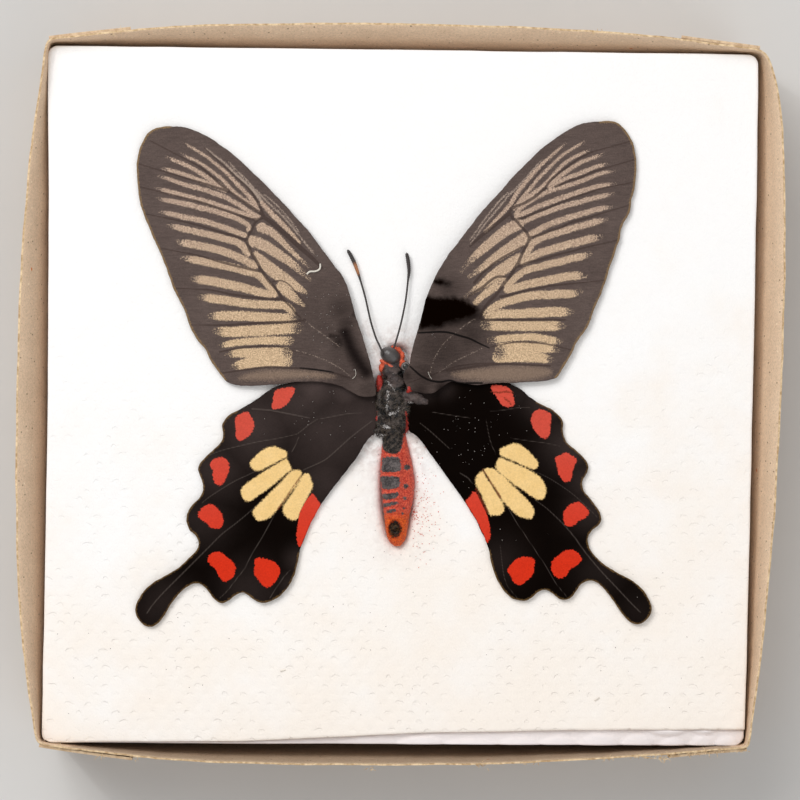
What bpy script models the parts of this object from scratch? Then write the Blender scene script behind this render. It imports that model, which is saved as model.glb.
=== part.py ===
"""A swallowtail butterfly laid on folded tissues in a shallow tray of folded board.

Run it with blender --background --python part.py, or from Blender's text editor.
Units are metres and +Z is up. The origin is the middle of the tray's underside.
Outlines are hand-picked places in the photograph, in its pixels, and at() makes them metres.
"""
import math

import bmesh
import bpy
from mathutils import Matrix, Vector

MM = 0.001

# Driving dimensions
PIXEL = 0.18 * MM                # one pixel of the photograph at the tissue's top
MIDDLE = (399.2, 396.5)          # the pixel that lies over the origin
TRAY_HEIGHT = 26.0 * MM
BOARD = 0.5 * MM                 # thickness of the folded board
GAP = 0.3 * MM                   # room between pieces that rest on each other
PAD_TOP = 24.0 * MM              # upper side of the top tissue
TOP_TISSUE = 2.2 * MM            # the top tissue, folded into its few layers
WING = 0.35 * MM                 # thickness given to a wing
BODY_LEVEL = 23.4 * MM           # height of the body's axis, half sunk in the tissue
THORAX_SIZE = (3.3 * MM, 6.0 * MM, 3.3 * MM)    # half sizes of the body's rounded parts
THORAX_TAPER = 0.42              # how much narrower the thorax is at its front
HEAD_SIZE = (1.75 * MM, 1.8 * MM, 1.6 * MM)
HEAD_LIFT = 0.5 * MM             # the head, its eyes and the abdomen lie a little higher
EYE_SIZE = (1.75 * MM, 1.4 * MM, 1.45 * MM)
RIGHT_EYE_SHARE = 0.62           # only this much of the right eye shows beside the head
ABDOMEN_LENGTH = 19.8 * MM
ABDOMEN_RADIUS = 3.05 * MM
ABDOMEN_WIDEST = 0.4             # the share of its length where the abdomen is widest
ABDOMEN_TAPER = 2.05             # how fast it narrows from there
ABDOMEN_FRONT_ROUND = 0.06       # the shares of its length that round off its two ends
ABDOMEN_TIP_ROUND = 0.13
ABDOMEN_RINGS = 8                # segments
ABDOMEN_RING_SWELL = 0.03
ABDOMEN_FLATNESS = 0.86          # its height over its width

# Tray corners at the fold and at the rim, in pixels: upper left, upper right, lower right, lower left
FOLD_CORNERS = [(45, 41), (764, 51), (750, 753), (36, 749)]
RIM_CORNERS = [(47, 39), (762, 50), (750, 753), (38, 748)]
# How far each wall bows outward at its rim, and where along the wall it bows most
WALL_BOWS = [(3.7 * MM, 0.49), (4.9 * MM, 0.34), (3.5 * MM, 0.56), (5.3 * MM, 0.50)]
BOW_POWER = 2.6                  # above 2, the bow is flatter in the middle than a parabola
WALL_STEPS = 10
TAB_LENGTH = 15.0 * MM           # the ends of the side walls, folded round the corners
TAB_OVERLAP = 0.2 * MM           # how deep a tab is sunk in the wall that it is glued to
TAB_FOOT = 0.04                  # a tab starts this share of the height above the fold
TAB_HEIGHT = 0.95

# Tissue corners, in the same order
PAD_CORNERS = [(50, 46), (758, 55), (744, 747), (42, 743)]
TOP_FRONT = 0.982                # the top tissue ends at this share of the stack's depth
PAD_STEPS = (18, 22)
PAD_CROWDING = (1.7, 1.3)        # how strongly the grid's lines gather near the body
PAD_FOCUS = (0.49, 0.42)         # where they gather, as shares of the pad from its lower left
HOLLOW_DEPTHS = (4.5 * MM, 3.2 * MM, 4.0 * MM)  # under the thorax, the head and the abdomen
HEAD_HOLLOW = (3.0 * MM, 3.2 * MM)              # half length and half width under the head
HOLLOW_MARGIN = 1.12             # the hollow in the tissue is this much wider than the body

# Body places, in pixels
THORAX_AT = (393.5, 400.0)
HEAD_AT = (398.0, 357.5)
LEFT_EYE_AT = (389.5, 355.0)
RIGHT_EYE_AT = (405.5, 366.5)
ABDOMEN_FRONT = (394.5, 437.0)
ABDOMEN_TIP = (398.0, 547.0)
EYE_TURN = math.radians(-25)

# Antennae from the head to the tip, in pixels, and their thickness
LEFT_ANTENNA = [(383, 346), (380, 340), (375, 331), (370, 317), (365, 296), (360, 279),
                (356, 268), (352, 257), (348.5, 250)]
RIGHT_ANTENNA = [(395, 343), (397.6, 334), (401.6, 319), (405.7, 299), (408, 284),
                 (409.6, 271), (409, 262), (407.5, 256), (406.4, 251)]
SHAFT_RADIUS = 0.19 * MM
CLUB_RADIUS = 0.36 * MM
CLUB_SHARE = 0.3                 # the share of the antenna that swells into the club

# Wing outlines in pixels, each from the front of its root round the tip and back to the root
LEFT_FOREWING = [
    (377, 386), (373, 376), (363, 338), (353, 306), (341, 274), (322, 249), (300, 222),
    (270, 189.5), (240, 160.5), (210, 138), (188, 128.5), (163, 127), (147, 135), (138, 157),
    (138, 185), (144, 214), (158, 248), (171, 280), (184.5, 310), (198, 340), (217.5, 370),
    (230, 383), (252, 386), (280, 384), (310, 381.5), (340, 386), (360, 396), (378, 396)]
RIGHT_FOREWING = [
    (408, 372), (411, 362), (414, 343), (423, 310), (433.5, 280.5), (446, 259), (470, 227),
    (500, 192), (530, 160), (560, 135.5), (583, 123.5), (608, 121.2), (623, 128), (634, 148),
    (636, 170), (631, 202), (621, 229), (613, 258), (600, 296), (588, 325), (573, 350),
    (563, 367), (549, 380), (520, 382.5), (485, 384.5), (455, 382), (430, 382), (408, 384)]
LEFT_HINDWING = [
    (378, 392), (350, 380), (312, 379), (275, 387), (258, 398.5), (231, 414), (222.5, 426),
    (220, 443.5), (200.5, 463), (199.5, 474), (203, 490), (190, 508), (187, 521), (197, 537),
    (197, 549.5), (184, 563), (156, 581), (139.5, 598), (135.5, 612), (147, 626), (161, 620),
    (174, 600), (196, 583), (209, 592), (222, 602.8), (243, 592.5), (263, 602.8), (284, 592),
    (296, 570), (304, 540), (320, 506), (347, 470), (366, 442), (378, 431)]
RIGHT_HINDWING = [
    (409, 392), (435, 384), (475, 379.5), (506, 383), (530, 397.5), (551, 409), (563, 423),
    (566, 441), (585, 459.5), (587, 472), (582, 485), (592, 501), (601, 517), (590, 532),
    (588.5, 546), (601, 562), (626, 577), (645, 593), (651, 609), (637, 624), (622, 614),
    (606, 591), (591, 580.5), (578, 588), (564, 599.7), (544, 589.5), (524, 600.5), (505, 592),
    (492.5, 567), (484, 537), (465, 502.5), (437, 463), (419, 438.5), (408, 430)]
OUTLINE_STEPS = 2                # straight steps between two outline points
WING_CELL = 4.2 * MM
FOREWING_RISE = (1.0 * MM, 32.0 * MM)   # lift over the hindwing, and how far out it reaches
ROOT_RISE = (0.9 * MM, 6.5 * MM)        # lift where the wings climb to the thorax
WING_REST = 0.35 * MM            # height of the wing tips over the tissue
ROOT_GAP = 0.35 * MM             # room between the thorax and the wings

PAPER = (0.93, 0.90, 0.86, 1.0)
KRAFT = (0.46, 0.31, 0.19, 1.0)
FOREWING_BROWN = (0.20, 0.14, 0.10, 1.0)
HINDWING_BLACK = (0.02, 0.015, 0.013, 1.0)
BODY_BLACK = (0.03, 0.027, 0.027, 1.0)
BODY_RED = (0.55, 0.09, 0.04, 1.0)


def at(pixel):
    """A place in the photograph as x and y in metres."""
    return (pixel[0] - MIDDLE[0]) * PIXEL, (MIDDLE[1] - pixel[1]) * PIXEL


def clear_objects():
    for item in list(bpy.data.objects):
        bpy.data.objects.remove(item, do_unlink=True)


def collection(name):
    group = bpy.data.collections.new(name)
    bpy.context.scene.collection.children.link(group)
    return group


def material(name, colour, roughness):
    """A plain Principled finish."""
    finish = bpy.data.materials.new(name)
    finish.use_nodes = True
    shader = finish.node_tree.nodes["Principled BSDF"]
    shader.inputs["Base Color"].default_value = colour
    shader.inputs["Roughness"].default_value = roughness
    shader.inputs["Metallic"].default_value = 0.0
    return finish


def add_piece(name, bm, group, finish=None, smooth=True):
    """Turn a bmesh into an object of the given group."""
    mesh = bpy.data.meshes.new(name)
    bm.to_mesh(mesh)
    bm.free()
    if smooth:
        mesh.shade_smooth()
        mesh.set_sharp_from_angle(angle=math.radians(40))
    if finish:
        mesh.materials.append(finish)
    piece = bpy.data.objects.new(name, mesh)
    group.objects.link(piece)
    if finish is None:
        piece.hide_render = True
        piece.display_type = "WIRE"
    return piece


def boolean(piece, cutter, operation):
    cut = piece.modifiers.new(cutter.name, "BOOLEAN")
    cut.operation = operation
    cut.solver = "EXACT"
    cut.object = cutter


def solidify(piece, thickness, side):
    shell = piece.modifiers.new("Thickness", "SOLIDIFY")
    shell.thickness = thickness
    shell.offset = side
    shell.use_even_offset = True


def between(start, end, share):
    return start + (end - start) * share


def quad_place(corners, across, down):
    """A place in a four-cornered outline, from shares across and down it."""
    upper_left, upper_right, lower_right, lower_left = [Vector(at(corner)) for corner in corners]
    upper = between(upper_left, upper_right, across)
    lower = between(lower_left, lower_right, across)
    return between(upper, lower, down)


# The tray is one sheet of board: a base, four walls and the tabs folded round its corners
def bow_shape(along, peak):
    """From 0 at the corners to 1 where the wall bows most."""
    if along <= 0 or along >= 1:
        return 0.0
    even = along ** (math.log(0.5) / math.log(peak))
    return 1 - abs(2 * even - 1) ** BOW_POWER


def wall_place(side, along, up, inward=0.0):
    """A place on the outer face of a wall: along it from its first corner, and up from the fold."""
    last = (side + 1) % 4
    fold = between(Vector(at(FOLD_CORNERS[side])), Vector(at(FOLD_CORNERS[last])), along)
    rim = between(Vector(at(RIM_CORNERS[side])), Vector(at(RIM_CORNERS[last])), along)
    edge = Vector(at(FOLD_CORNERS[last])) - Vector(at(FOLD_CORNERS[side]))
    outward = Vector((-edge.y, edge.x)).normalized()
    bow, peak = WALL_BOWS[side]
    flat = between(fold, rim, up) + outward * (bow * bow_shape(along, peak) * up - inward)
    return Vector((flat.x, flat.y, TRAY_HEIGHT * up))


def mapped_grid(bm, columns, rows, place):
    """Add a grid whose points are moved by place(across, up), both from 0 to 1."""
    made = bmesh.ops.create_grid(bm, x_segments=columns, y_segments=rows, size=0.5)
    for vertex in made["verts"]:
        vertex.co = place(vertex.co.x + 0.5, vertex.co.y + 0.5)
    return made["verts"]


def base_place(across, up):
    flat = quad_place(FOLD_CORNERS, across, 1 - up)
    return Vector((flat.x, flat.y, 0.0))


def make_tab(side, start, end, group):
    """The end of a side wall that lies on the outside of the wall round the corner."""
    bm = bmesh.new()
    mapped_grid(bm, 3, 2, lambda across, up: wall_place(
        side, between(start, end, across), TAB_FOOT + TAB_HEIGHT * up, inward=TAB_OVERLAP))
    bmesh.ops.reverse_faces(bm, faces=bm.faces[:])
    tab = add_piece(f"tab_{side}_{'start' if start < 0.5 else 'end'}", bm, group, smooth=False)
    solidify(tab, BOARD + TAB_OVERLAP, 1.0)
    return tab


def make_tray(group, cutters):
    bm = bmesh.new()
    mapped_grid(bm, WALL_STEPS, WALL_STEPS, base_place)
    for side in range(4):
        mapped_grid(bm, WALL_STEPS, 2, lambda across, up, side=side: wall_place(side, across, up))
    bmesh.ops.reverse_faces(bm, faces=bm.faces[:])
    bmesh.ops.remove_doubles(bm, verts=bm.verts[:], dist=0.05 * MM)
    tray = add_piece("tray", bm, group, material("kraft_board", KRAFT, 0.85), smooth=False)
    solidify(tray, BOARD, -1.0)
    for side in (0, 2):
        edge = Vector(at(FOLD_CORNERS[side + 1])) - Vector(at(FOLD_CORNERS[side]))
        reach = TAB_LENGTH / edge.length
        past = BOARD / edge.length
        boolean(tray, make_tab(side, -past, reach, cutters), "UNION")
        boolean(tray, make_tab(side, 1 - reach, 1 + past, cutters), "UNION")
    return tray


# The tissues: a stack and the top one, with a hollow where the body is pressed in
def bowl(x, y, centre, length, width):
    """1 in the middle of an oval, one half at its edge and nearly 0 well outside it."""
    across = (x - centre[0]) / (width * HOLLOW_MARGIN)
    along = (y - centre[1]) / (length * HOLLOW_MARGIN)
    return 1 / (1 + (across * across + along * along) ** 3)


def hollow(x, y):
    """Depth of the hollow under the body at a place on the pad."""
    rear = between(Vector(at(ABDOMEN_FRONT)), Vector(at(ABDOMEN_TIP)), 0.5)
    thorax_depth, head_depth, rear_depth = HOLLOW_DEPTHS
    return max(thorax_depth * bowl(x, y, at(THORAX_AT), THORAX_SIZE[1], THORAX_SIZE[0]),
               head_depth * bowl(x, y, at(HEAD_AT), *HEAD_HOLLOW),
               rear_depth * bowl(x, y, rear, ABDOMEN_LENGTH / 2, ABDOMEN_RADIUS))


def crowded(share, middle, power):
    """Move an even share from 0 to 1 so that the grid's lines gather at the middle."""
    offset = 2 * share - 1
    pulled = math.copysign(abs(offset) ** power, offset)
    room = (1 - middle) if pulled > 0 else middle
    return middle + pulled * room


def make_slab(name, front, top, bottom, group, finish):
    """A block of tissue between two height functions, as deep as the share named front."""
    bm = bmesh.new()

    def place(across, up):
        down = min(front, 1 - crowded(up, PAD_FOCUS[1], PAD_CROWDING[1]))
        flat = quad_place(PAD_CORNERS, crowded(across, PAD_FOCUS[0], PAD_CROWDING[0]), down)
        return Vector((flat.x, flat.y, top(flat.x, flat.y)))

    mapped_grid(bm, PAD_STEPS[0], PAD_STEPS[1], place)
    lowered = bmesh.ops.extrude_face_region(bm, geom=bm.faces[:])
    for element in lowered["geom"]:
        if isinstance(element, bmesh.types.BMVert):
            element.co.z = bottom(element.co.x, element.co.y)
    bmesh.ops.recalc_face_normals(bm, faces=bm.faces[:])
    return add_piece(name, bm, group, finish)


def make_tissues(group):
    paper = material("tissue", PAPER, 0.95)
    stack_top = PAD_TOP - TOP_TISSUE - GAP
    make_slab("napkin_stack", 1.0,
              lambda x, y: stack_top - hollow(x, y),
              lambda x, y: BOARD + GAP, group, paper)
    make_slab("napkin_top", TOP_FRONT,
              lambda x, y: PAD_TOP - hollow(x, y),
              lambda x, y: PAD_TOP - TOP_TISSUE - hollow(x, y), group, paper)


# The body: head with its eyes, thorax and abdomen
def add_egg(bm, centre, size, turn=0.0, front_taper=0.0, segments=20, rings=12):
    """An egg whose long axis lies along Y, narrower at its front by front_taper."""
    made = bmesh.ops.create_uvsphere(bm, u_segments=segments, v_segments=rings, radius=1.0)
    lay_down = Matrix.Rotation(math.radians(-90), 4, "X")
    for vertex in made["verts"]:
        unit = lay_down @ vertex.co
        narrow = 1 - front_taper * max(0.0, unit.y) ** 2
        shaped = Vector((unit.x * size[0] * narrow, unit.y * size[1], unit.z * size[2] * narrow))
        vertex.co = Matrix.Rotation(turn, 4, "Z") @ shaped + Vector(centre)
    return made["verts"]


def lifted(pixel, height):
    x, y = at(pixel)
    return Vector((x, y, height))


def make_thorax(group, cutters):
    """The thorax, and the space round it that the wings stay out of."""
    centre = lifted(THORAX_AT, BODY_LEVEL)
    bm = bmesh.new()
    add_egg(bm, centre, THORAX_SIZE, front_taper=THORAX_TAPER)
    thorax = add_piece("thorax", bm, group, material("body_black", BODY_BLACK, 0.7))
    bm = bmesh.new()
    grown = [size + ROOT_GAP for size in THORAX_SIZE]
    add_egg(bm, centre, grown, front_taper=THORAX_TAPER)
    room = add_piece("thorax_room", bm, cutters)
    return thorax, room


def make_head(group, cutters):
    """The head, with the left eye and the part of the right eye that shows."""
    bm = bmesh.new()
    add_egg(bm, lifted(HEAD_AT, BODY_LEVEL + HEAD_LIFT), HEAD_SIZE, segments=16, rings=10)
    head = add_piece("head", bm, group, material("head_red", BODY_RED, 0.6))
    bm = bmesh.new()
    add_egg(bm, lifted(LEFT_EYE_AT, BODY_LEVEL + HEAD_LIFT), EYE_SIZE, EYE_TURN,
            segments=16, rings=10)
    boolean(head, add_piece("left_eye", bm, cutters), "UNION")
    bm = bmesh.new()
    add_egg(bm, lifted(RIGHT_EYE_AT, BODY_LEVEL + HEAD_LIFT / 2),
            [size * RIGHT_EYE_SHARE for size in EYE_SIZE], segments=14, rings=8)
    boolean(head, add_piece("right_eye", bm, cutters), "UNION")
    return head


def abdomen_radius(share):
    """Radius along the abdomen, from its front at 0 to its tip at 1, with a soft ring a segment."""
    barrel = 1 - ABDOMEN_TAPER * (share - ABDOMEN_WIDEST) ** 2
    front = max(0.0, 1 - share / ABDOMEN_FRONT_ROUND)
    tip = max(0.0, (share - 1) / ABDOMEN_TIP_ROUND + 1)
    rounded = math.sqrt(1 - 0.75 * front ** 2) * math.sqrt(1 - tip ** 2)
    ring = 1 + ABDOMEN_RING_SWELL * abs(math.sin(math.pi * ABDOMEN_RINGS * share))
    return ABDOMEN_RADIUS * barrel * rounded * ring


def make_abdomen(group):
    """A turned spindle with a ring for each segment, laid down and a little flattened."""
    profile_steps = ABDOMEN_RINGS * 3
    bm = bmesh.new()
    previous = bm.verts.new((0.0, 0.0, 0.0))
    for step in range(1, profile_steps):
        share = step / profile_steps
        point = bm.verts.new((abdomen_radius(share), 0.0, -ABDOMEN_LENGTH * share))
        bm.edges.new((previous, point))
        previous = point
    bm.edges.new((previous, bm.verts.new((0.0, 0.0, -ABDOMEN_LENGTH))))
    abdomen = add_piece("abdomen", bm, group, material("abdomen_red", BODY_RED, 0.6), smooth=False)
    turned = abdomen.modifiers.new("Turn", "SCREW")
    turned.steps = 16
    turned.render_steps = 16
    turned.use_merge_vertices = True
    turned.merge_threshold = 0.00001
    front = Vector(at(ABDOMEN_FRONT))
    run = Vector(at(ABDOMEN_TIP)) - front
    abdomen.location = lifted(ABDOMEN_FRONT, BODY_LEVEL + HEAD_LIFT / 2)
    abdomen.rotation_euler = (math.radians(-90), 0.0, math.atan2(run.x, -run.y))
    abdomen.scale = (1.0, ABDOMEN_FLATNESS, 1.0)
    return abdomen


# Wings and antennae
def outline_room(name, points, group):
    """An upright prism on a wing's outline, tall enough to hold the whole wing."""
    curve = bpy.data.curves.new(name, "CURVE")
    curve.dimensions = "2D"
    curve.fill_mode = "BOTH"
    curve.extrude = 3.0 * MM
    curve.resolution_u = OUTLINE_STEPS
    spline = curve.splines.new("BEZIER")
    spline.bezier_points.add(len(points) - 1)
    spline.use_cyclic_u = True
    for knot, pixel in zip(spline.bezier_points, points):
        x, y = at(pixel)
        knot.co = (x, y, 0.0)
        knot.handle_left_type = "AUTO"
        knot.handle_right_type = "AUTO"
    shape = bpy.data.objects.new(name, curve)
    group.objects.link(shape)
    shape.location.z = PAD_TOP + 2.0 * MM
    bpy.context.view_layer.update()
    drawn = shape.evaluated_get(bpy.context.evaluated_depsgraph_get())
    bm = bmesh.new()
    bm.from_mesh(bpy.data.meshes.new_from_object(drawn))
    bm.transform(shape.matrix_world)
    bmesh.ops.remove_doubles(bm, verts=bm.verts[:], dist=0.01 * MM)
    bmesh.ops.recalc_face_normals(bm, faces=bm.faces[:])
    bpy.data.objects.remove(shape, do_unlink=True)
    return add_piece(name, bm, group, smooth=False)


def root_distance(x, y):
    """Distance from the thorax's middle, less its half width."""
    centre = at(THORAX_AT)
    return max(0.0, math.hypot(x - centre[0], (y - centre[1]) * 0.6) - THORAX_SIZE[0])


def hindwing_height(x, y):
    rise, reach = ROOT_RISE
    return PAD_TOP + WING_REST + 0.6 * rise * math.exp(-(root_distance(x, y) / reach) ** 2)


def forewing_height(x, y):
    lift, spread = FOREWING_RISE
    rise, reach = ROOT_RISE
    out = root_distance(x, y)
    overlap = lift * math.exp(-(out / spread) ** 2)
    return PAD_TOP + WING_REST + overlap + rise * math.exp(-(out / reach) ** 2)


def make_wing(name, points, height, finish, room, group, cutters):
    """A thin curved sheet, cut to the wing's outline and kept off the thorax."""
    places = [at(pixel) for pixel in points]
    low = Vector((min(x for x, y in places), min(y for x, y in places))) - Vector((MM, MM))
    high = Vector((max(x for x, y in places), max(y for x, y in places))) + Vector((MM, MM))
    columns = round((high.x - low.x) / WING_CELL)
    rows = round((high.y - low.y) / WING_CELL)

    def place(across, up):
        x = between(low.x, high.x, across)
        y = between(low.y, high.y, up)
        return Vector((x, y, height(x, y)))

    bm = bmesh.new()
    mapped_grid(bm, columns, rows, place)
    wing = add_piece(name, bm, group, finish)
    solidify(wing, WING, 1.0)
    boolean(wing, outline_room(f"{name}_outline", points, cutters), "INTERSECT")
    boolean(wing, room, "DIFFERENCE")
    return wing


def make_antenna(name, points, finish, group):
    """A thin stalk from the head down to the tissue, swelling into a club."""
    curve = bpy.data.curves.new(name, "CURVE")
    curve.dimensions = "3D"
    curve.bevel_depth = SHAFT_RADIUS
    curve.bevel_resolution = 1
    curve.use_fill_caps = True
    curve.resolution_u = 3
    curve.materials.append(finish)
    spline = curve.splines.new("BEZIER")
    spline.bezier_points.add(len(points) - 1)
    start_height = PAD_TOP + 1.9 * MM
    for step, (knot, pixel) in enumerate(zip(spline.bezier_points, points)):
        share = step / (len(points) - 1)
        club = max(0.0, (share - 1 + CLUB_SHARE) / CLUB_SHARE)
        swell = math.sin(math.pi * min(1.0, 0.75 * club)) if club < 1 else 0.75
        radius = SHAFT_RADIUS + (CLUB_RADIUS - SHAFT_RADIUS) * swell
        x, y = at(pixel)
        rest = PAD_TOP + GAP + CLUB_RADIUS
        knot.co = (x, y, rest + (start_height - rest) * (1 - share) ** 2)
        knot.radius = radius / SHAFT_RADIUS
        knot.handle_left_type = "AUTO"
        knot.handle_right_type = "AUTO"
    antenna = bpy.data.objects.new(name, curve)
    group.objects.link(antenna)
    return antenna


def main():
    clear_objects()
    group = collection("framed_butterfly")
    cutters = collection("cutters")
    make_tray(group, cutters)
    make_tissues(group)
    thorax, room = make_thorax(group, cutters)
    make_head(group, cutters)
    make_abdomen(group)
    brown = material("forewing_brown", FOREWING_BROWN, 0.6)
    black = material("hindwing_black", HINDWING_BLACK, 0.5)
    wings = [("hindwing_left", LEFT_HINDWING, hindwing_height, black),
             ("hindwing_right", RIGHT_HINDWING, hindwing_height, black),
             ("forewing_left", LEFT_FOREWING, forewing_height, brown),
             ("forewing_right", RIGHT_FOREWING, forewing_height, brown)]
    for name, points, height, finish in wings:
        make_wing(name, points, height, finish, room, group, cutters)
    stalk = material("antenna_black", BODY_BLACK, 0.5)
    make_antenna("antenna_left", LEFT_ANTENNA, stalk, group)
    make_antenna("antenna_right", RIGHT_ANTENNA, stalk, group)


main()
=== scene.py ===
# %% [markdown]
# # A dried butterfly on folded tissues, in a tray of folded board
#
# The real thing is a swallowtail laid out to dry. It has two pairs of wings, a red and black
# body and two thin antennae, and it lies on a pad of folded tissues in a shallow tray.
# The plain solids of this object are already made and packed. This script loads them as a
# frame, and builds the finely shaped and finished pieces in the same places.

import math

import bmesh
import bpy
import numpy as np
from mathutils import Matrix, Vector, geometry


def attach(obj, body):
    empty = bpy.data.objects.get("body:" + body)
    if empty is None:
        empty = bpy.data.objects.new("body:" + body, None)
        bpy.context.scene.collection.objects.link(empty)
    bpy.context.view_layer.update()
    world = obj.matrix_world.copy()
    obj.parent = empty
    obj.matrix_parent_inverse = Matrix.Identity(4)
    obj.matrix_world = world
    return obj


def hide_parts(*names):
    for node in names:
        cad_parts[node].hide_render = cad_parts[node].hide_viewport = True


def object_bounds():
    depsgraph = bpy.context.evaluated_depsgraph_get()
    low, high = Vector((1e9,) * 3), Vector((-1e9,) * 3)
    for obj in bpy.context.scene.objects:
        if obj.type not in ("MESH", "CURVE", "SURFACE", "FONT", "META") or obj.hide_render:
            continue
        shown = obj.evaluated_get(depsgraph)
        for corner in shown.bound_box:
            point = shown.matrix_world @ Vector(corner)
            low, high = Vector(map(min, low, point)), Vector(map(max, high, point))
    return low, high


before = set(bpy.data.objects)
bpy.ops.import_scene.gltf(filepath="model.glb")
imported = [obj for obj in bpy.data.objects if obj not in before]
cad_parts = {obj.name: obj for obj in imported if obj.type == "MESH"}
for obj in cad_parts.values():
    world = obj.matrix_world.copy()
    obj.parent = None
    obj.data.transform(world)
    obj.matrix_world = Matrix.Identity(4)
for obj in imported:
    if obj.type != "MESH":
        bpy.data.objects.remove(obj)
cad_low, cad_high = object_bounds()
print("the packed model has", len(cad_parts), "pieces")

# %% [markdown]
# ## Places and units
#
# The object was photographed from straight above, so a place in the picture is a place on the
# tissues. The outlines further down are given in pixels, and one rule turns them into
# millimetres from the middle of the tray. Working in millimetres keeps the numbers readable,
# and they become metres only when a mesh is made.

# %% From picture to millimetres
MM = 0.001
PIXEL = 0.18                # millimetres a pixel at the top of the tissues
MIDDLE = (399.2, 396.5)     # the pixel over the middle of the tray


def places(pixels):
    """Pixels as rows of x and y in millimetres. Further columns, in pixels, become millimetres too."""
    spots = np.array(pixels, dtype=float)
    spots[:, 0] = (spots[:, 0] - MIDDLE[0]) * PIXEL
    spots[:, 1] = (MIDDLE[1] - spots[:, 1]) * PIXEL
    spots[:, 2:] *= PIXEL
    return spots


def place(u, v):
    return places([(u, v)])[0]


print("the picture's upper left corner is at", place(0, 0), "mm")

# %% [markdown]
# ## The camera
#
# The picture is taken from straight above, so the camera looks down with the butterfly's head
# towards the top. A long lens from 60 cm up gives the slight perspective that lets the tray's
# walls lean outward a little.

# %% Camera
PAD_TOP = 24.0              # height of the top tissue, in millimetres
CAMERA_RISE = 600.0
PICTURE_WIDTH = 144.0       # how much the picture spans at the top of the tissues

lens = bpy.data.cameras.new("camera")
lens.sensor_width = 36.0
lens.lens = lens.sensor_width * CAMERA_RISE / PICTURE_WIDTH
lens.clip_start = 0.01
camera = bpy.data.objects.new("camera", lens)
bpy.context.scene.collection.objects.link(camera)
camera.location = (*place(400, 400) * MM, (PAD_TOP + CAMERA_RISE) * MM)
bpy.context.scene.camera = camera
print("the lens is", lens.lens, "mm long")

# %% [markdown]
# ## Smooth lines and random hills
#
# Wings, veins and spots are all drawn as lines through a few given places. A Catmull-Rom
# curve goes through every one of them, so the drawing stays where it was given. It takes any
# number of columns, so a line's width can ride along as a third one.

# %% Smooth lines
def smooth_line(knots, closed=False, step=0.4):
    """A smooth curve through the knots, as points about a step apart."""
    knots = np.asarray(knots, dtype=float)
    if closed:
        ends = np.vstack([knots[-1:], knots, knots[:2]])
    else:
        ends = np.vstack([2 * knots[:1] - knots[1:2], knots, 2 * knots[-1:] - knots[-2:-1]])
    line = []
    for before, start, stop, after in zip(ends, ends[1:], ends[2:], ends[3:]):
        count = max(1, round(float(np.linalg.norm((stop - start)[:2])) / step))
        share = np.arange(count)[:, None] / count
        bend = 2 * before - 5 * start + 4 * stop - after
        twist = 3 * start - before - 3 * stop + after
        line.append(start + 0.5 * ((stop - before) * share + bend * share ** 2 + twist * share ** 3))
    if not closed:
        line.append(knots[-1:])
    return np.vstack(line)


def soft_noise(x, y, size, seed):
    """Smooth random hills from -1 to 1, about a size across."""
    table = np.random.default_rng(seed).uniform(-1, 1, (97, 89))
    u = np.asarray(x, dtype=float) / size + 5000
    v = np.asarray(y, dtype=float) / size + 5000
    column = np.floor(u).astype(int)
    row = np.floor(v).astype(int)
    a = (u - column) ** 2 * (3 - 2 * (u - column))
    b = (v - row) ** 2 * (3 - 2 * (v - row))
    corner = [[table[(column + i) % 97, (row + j) % 89] for j in (0, 1)] for i in (0, 1)]
    near = corner[0][0] * (1 - a) + corner[1][0] * a
    far = corner[0][1] * (1 - a) + corner[1][1] * a
    return near * (1 - b) + far * b


print("a square's smooth outline has", len(smooth_line([(0, 0), (4, 0), (4, 4), (0, 4)], True)), "points")

# %% [markdown]
# ## How deep a point lies in a drawn shape
#
# A butterfly's pattern is millions of tiny scales with soft, powdery borders. Rather than
# painting a picture of it, each point of a wing is told how many millimetres it lies inside
# a stripe or a spot. The finish then draws the border at depth nought and roughens it with
# noise, so it stays crisp from any distance.

# %% Depth in lines and shapes
def line_depth(points, line):
    """How far each point lies inside a line: its half width there, less the distance to it."""
    nearest = np.full(len(points), np.inf)
    width = np.zeros(len(points))
    for start, stop in zip(line, line[1:]):
        run = stop[:2] - start[:2]
        along = np.clip((points - start[:2]) @ run / max(run @ run, 1e-9), 0, 1)
        gap = np.hypot(points[:, 0] - start[0] - along * run[0],
                       points[:, 1] - start[1] - along * run[1])
        closer = gap < nearest
        nearest[closer] = gap[closer]
        width[closer] = (start[2] + along * (stop[2] - start[2]))[closer]
    return width / 2 - nearest


def shape_depth(points, outline):
    """How far each point lies inside a closed outline. Outside it is negative."""
    x, y = points[:, 0], points[:, 1]
    inside = np.zeros(len(points), dtype=bool)
    for start, stop in zip(outline, np.roll(outline, -1, axis=0)):
        if start[1] != stop[1]:
            crossing = start[0] + (y - start[1]) * (stop[0] - start[0]) / (stop[1] - start[1])
            inside ^= ((start[1] > y) != (stop[1] > y)) & (x < crossing)
    ring = np.column_stack([outline, np.zeros(len(outline))])
    away = -line_depth(points, np.vstack([ring, ring[:1]]))
    return np.where(inside, away, -away)


def deepest(points, lines, limit=-1.5):
    """The depth in whichever of several lines holds the point best."""
    depth = np.full(len(points), limit)
    for line in lines:
        depth = np.maximum(depth, line_depth(points, line))
    return depth


def deepest_shape(points, outlines, limit=-1.5):
    depth = np.full(len(points), limit)
    for outline in outlines:
        depth = np.maximum(depth, shape_depth(points, smooth_line(places(outline), closed=True)))
    return depth


square = np.array([(0.0, 0.0), (4.0, 0.0), (4.0, 4.0), (0.0, 4.0)])
print("the middle of a 4 mm square lies", shape_depth(np.array([(2.0, 2.0)]), square)[0], "mm deep")
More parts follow.
